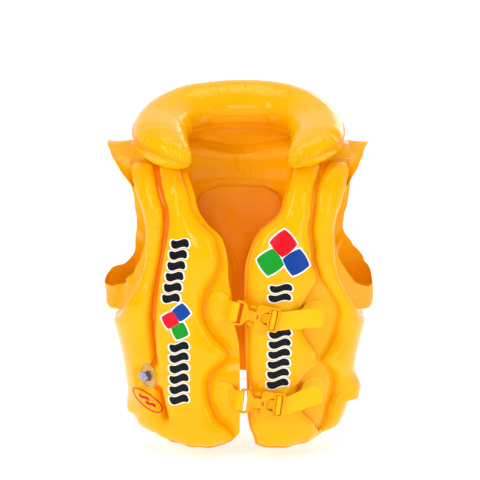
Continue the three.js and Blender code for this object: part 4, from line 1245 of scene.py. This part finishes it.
# ---------- Materials ----------
class Sock:
    """A shader value or colour that Python's operators can work on."""

    def __init__(self, tree, socket):
        self.tree = tree
        self.socket = socket

    def _math(self, operation, other):
        return self.tree.node("ShaderNodeMath", {"operation": operation}, [self, other])

    def __add__(self, other):
        return self._math("ADD", other)

    def __mul__(self, other):
        return self._math("MULTIPLY", other)

    def __sub__(self, other):
        return self._math("SUBTRACT", other)

    def clamp(self):
        return self.tree.node("ShaderNodeClamp", {}, [self])


class Finish:
    """A material and its nodes."""

    def __init__(self, name):
        self.material = bpy.data.materials.new(name)
        self.material.use_nodes = True
        self.tree = self.material.node_tree
        self.shader = self.tree.nodes["Principled BSDF"]

    def node(self, kind, settings=None, inputs=(), output=0):
        made = self.tree.nodes.new(kind)
        for key, value in (settings or {}).items():
            setattr(made, key, value)
        pairs = inputs.items() if isinstance(inputs, dict) else enumerate(inputs)
        for key, value in pairs:
            self.link(value, made.inputs[key])
        return Sock(self, made.outputs[output])

    def link(self, value, socket):
        if isinstance(value, Sock):
            self.tree.links.new(value.socket, socket)
        else:
            socket.default_value = value

    def where(self):
        return self.node("ShaderNodeTexCoord", output="Object")

    def noise(self, scale, detail, roughness):
        inputs = {"Vector": self.where(), "Scale": scale, "Detail": detail, "Roughness": roughness}
        return self.node("ShaderNodeTexNoise", {}, inputs)

    def mix(self, share, a, b):
        return self.node("ShaderNodeMix", {"data_type": "RGBA"}, {0: share, 6: a, 7: b}, output=2)

    def bump(self, height, strength, distance):
        return self.node("ShaderNodeBump", {}, {"Height": height, "Strength": strength, "Distance": distance})

    def set(self, **values):
        for key, value in values.items():
            self.link(value, self.shader.inputs[key.replace("_", " ")])
        return self


def rgb(r, g, b):
    """A linear colour from 0-255 display values."""
    shares = [c / 255 for c in (r, g, b)]
    return tuple(c / 12.92 if c <= 0.04045 else ((c + 0.055) / 1.055) ** 2.4 for c in shares) + (1.0,)


def vinyl(name, base, deep, roughness, coat, glow=0.12):
    f = Finish(name)
    cloud = f.noise(16, 3, 0.55)
    fine = f.noise(420, 2, 0.5)
    # The deep attribute is painted shade: it mixes the colour towards the deep orange rgb(238, 108, 2) by
    # welds, in grooves and on inner faces.
    weld = f.node("ShaderNodeAttribute", {"attribute_name": "deep"}, output="Fac")
    f.set(Base_Color=f.mix(weld.clamp(), f.mix((cloud * 1.5 - 0.35).clamp(), deep, base), rgb(238, 108, 2)),
          Roughness=(fine * 0.05 + cloud * 0.06 + (roughness - 0.05)).clamp(),
          Normal=f.bump(f.noise(120, 4, 0.55) * 0.7 + fine * 0.3, 0.10, 0.0006))
    f.set(Coat_Weight=coat, Coat_Roughness=0.08, Subsurface_Weight=glow, Subsurface_Scale=0.006,
          Subsurface_Radius=(1.0, 0.4, 0.04), IOR=1.34, Specular_Tint=(1, 0.88, 0.55, 1))
    return f.material


chamber_vinyl = vinyl("chamber_vinyl", rgb(255, 189, 0), rgb(254, 182, 0), 0.145, 0.05)
hem_vinyl = vinyl("welded_vinyl", rgb(255, 184, 1), rgb(254, 174, 0), 0.2, 0.05)
strap_finish = vinyl("strap_vinyl", rgb(255, 196, 12), rgb(254, 188, 6), 0.26, 0.0)
buckle_finish = vinyl("buckle_plastic", rgb(254, 176, 1), rgb(252, 167, 0), 0.24, 0.05, 0.15)


def print_finish(name, colour):
    f = Finish(name)
    grain = f.noise(260, 2, 0.5)
    f.set(Base_Color=f.mix(grain, colour, tuple(min(1.0, c * 1.12 + 0.004) for c in colour[:3]) + (1,)),
          Roughness=(grain * 0.08 + 0.28).clamp(), Normal=f.bump(grain, 0.06, 0.0004))
    f.set(Coat_Weight=0.0, IOR=1.25)
    return f.material


def clear_vinyl(name, colour, clear, roughness):
    f = Finish(name)
    cloud = f.noise(300, 2, 0.5)
    f.set(Base_Color=f.mix(cloud, colour, tuple(min(1.0, c * 1.15) for c in colour[:3]) + (1,)),
          Roughness=(cloud * 0.06 + roughness).clamp())
    f.set(Transmission_Weight=clear, IOR=1.5, Coat_Weight=0.6, Coat_Roughness=0.05)
    return f.material


INKS = {
    "white": rgb(240, 250, 252), "black": rgb(4, 4, 8), "red": rgb(222, 8, 30), "green": rgb(10, 150, 36),
    "blue": rgb(0, 62, 150),
}
print_finishes = {colour: print_finish(f"{colour}_ink", value) for colour, value in INKS.items()}
seat_finish = clear_vinyl("clear_seat_vinyl", rgb(250, 190, 60), 0.35, 0.18)
stem_finish = clear_vinyl("valve_stem_vinyl", rgb(104, 96, 160), 0.55, 0.16)
plug_finish = clear_vinyl("valve_plug_vinyl", rgb(188, 196, 236), 0.5, 0.14)


def finish(obj, material):
    obj.data.materials.clear()
    obj.data.materials.append(material)


for shell in (right_shell, left_shell, back, collar):
    finish(shell, chamber_vinyl)
for sheet in (neckline, *hems.values(), *shoulders.values()):
    finish(sheet, hem_vinyl)
for piece in (*tabs.values(), *straps.values()):
    finish(piece, strap_finish)
for piece in buckles:
    finish(piece, buckle_finish)
for made in valves.values():
    for part, piece in made.items():
        finish(piece, {"seat": seat_finish, "plug": plug_finish}.get(part, stem_finish))
for made in printing.values():
    for colour, piece in made.items():
        finish(piece, print_finishes[colour])

# ---------- What each piece stands for ----------
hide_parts("right_front_outer_chamber", "right_front_inner_chamber", "right_buckle_flange")
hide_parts("left_front_outer_chamber", "left_front_inner_chamber", "upper_pad_panel",
            "lower_pad_panel")
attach(right_shell, "right_half")
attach(left_shell, "left_half")
for side, name in SIDES.items():
    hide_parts(f"{name}_armhole_hem")
    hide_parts(f"{name}_shoulder_panel")
    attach(hems[side], f"{name}_half")
    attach(shoulders[side], f"{name}_half")
for piece, nodes in ((back, ("back_chamber", "neck_roll", "back_window", "back_hem")),
                     (collar, ("collar_half",)), (neckline, ("neckline_hem",))):
    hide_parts(*[f"{name}_{node}" for name in ("right", "left") for node in nodes])
    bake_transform(piece)
for name in BUCKLES:
    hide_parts(f"{name}_receiver_tab")
    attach(tabs[name], "right_half")
    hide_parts(f"{name}_strap")
    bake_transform(straps[name])


# ---------- Stage ----------
def add_stage():
    mesh = bpy.data.meshes.new("floor")
    size, back_at, low = 18.0, 5.0, -0.02
    profile = [(-size, low), (back_at - 1.0, low)]
    bend = np.linspace(0.1, math.pi / 2, 12)
    profile += [(back_at - 1.0 + math.sin(a), low + 1.0 - math.cos(a)) for a in bend]
    profile += [(back_at, size)]
    points = [(x, y, z) for x in (-size, size) for y, z in profile]
    n = len(profile)
    mesh.from_pydata(points, [], [[i, i + 1, i + 1 + n, i + n] for i in range(n - 1)])
    obj = new_object("floor", mesh, 60)
    f = Finish("pale_floor")
    dust = f.noise(3, 2, 0.5)
    f.set(Base_Color=f.mix(dust, (0.90, 0.90, 0.90, 1), (0.93, 0.93, 0.93, 1)), Roughness=0.7)
    f.set(Emission_Color=(1, 1, 1, 1), Emission_Strength=0.5)
    obj.data.materials.append(f.material)


def add_area(name, at, size, power, colour=(1, 1, 1), aim=(0, 0, 0.25)):
    data = bpy.data.lights.new(name, "AREA")
    data.shape = "RECTANGLE"
    data.size, data.size_y = size
    data.energy = power
    data.color = colour
    obj = bpy.data.objects.new(name, data)
    obj.location = at
    obj.rotation_euler = (Vector(aim) - Vector(at)).to_track_quat("-Z", "Y").to_euler()
    bpy.context.collection.objects.link(obj)


def add_light():
    add_area("key", (-1.25, -1.75, 1.45), (0.7, 1.2), 15.5)
    add_area("fill", (1.65, -1.55, 0.75), (0.7, 1.3), 8.5)
    add_area("front", (-0.35, -2.3, 0.75), (0.5, 0.5), 6)
    add_area("top", (0.1, -0.2, 2.1), (1.3, 1.0), 13)
    add_area("rim", (0.9, 1.5, 1.0), (1.0, 1.0), 6)
    world = bpy.data.worlds.new("room")
    world.use_nodes = True
    world.node_tree.nodes["Background"].inputs[0].default_value = (1, 1, 1, 1)
    world.node_tree.nodes["Background"].inputs[1].default_value = 0.28
    bpy.context.scene.world = world
    bpy.context.scene.view_settings.view_transform = "Standard"


add_stage()
add_light()
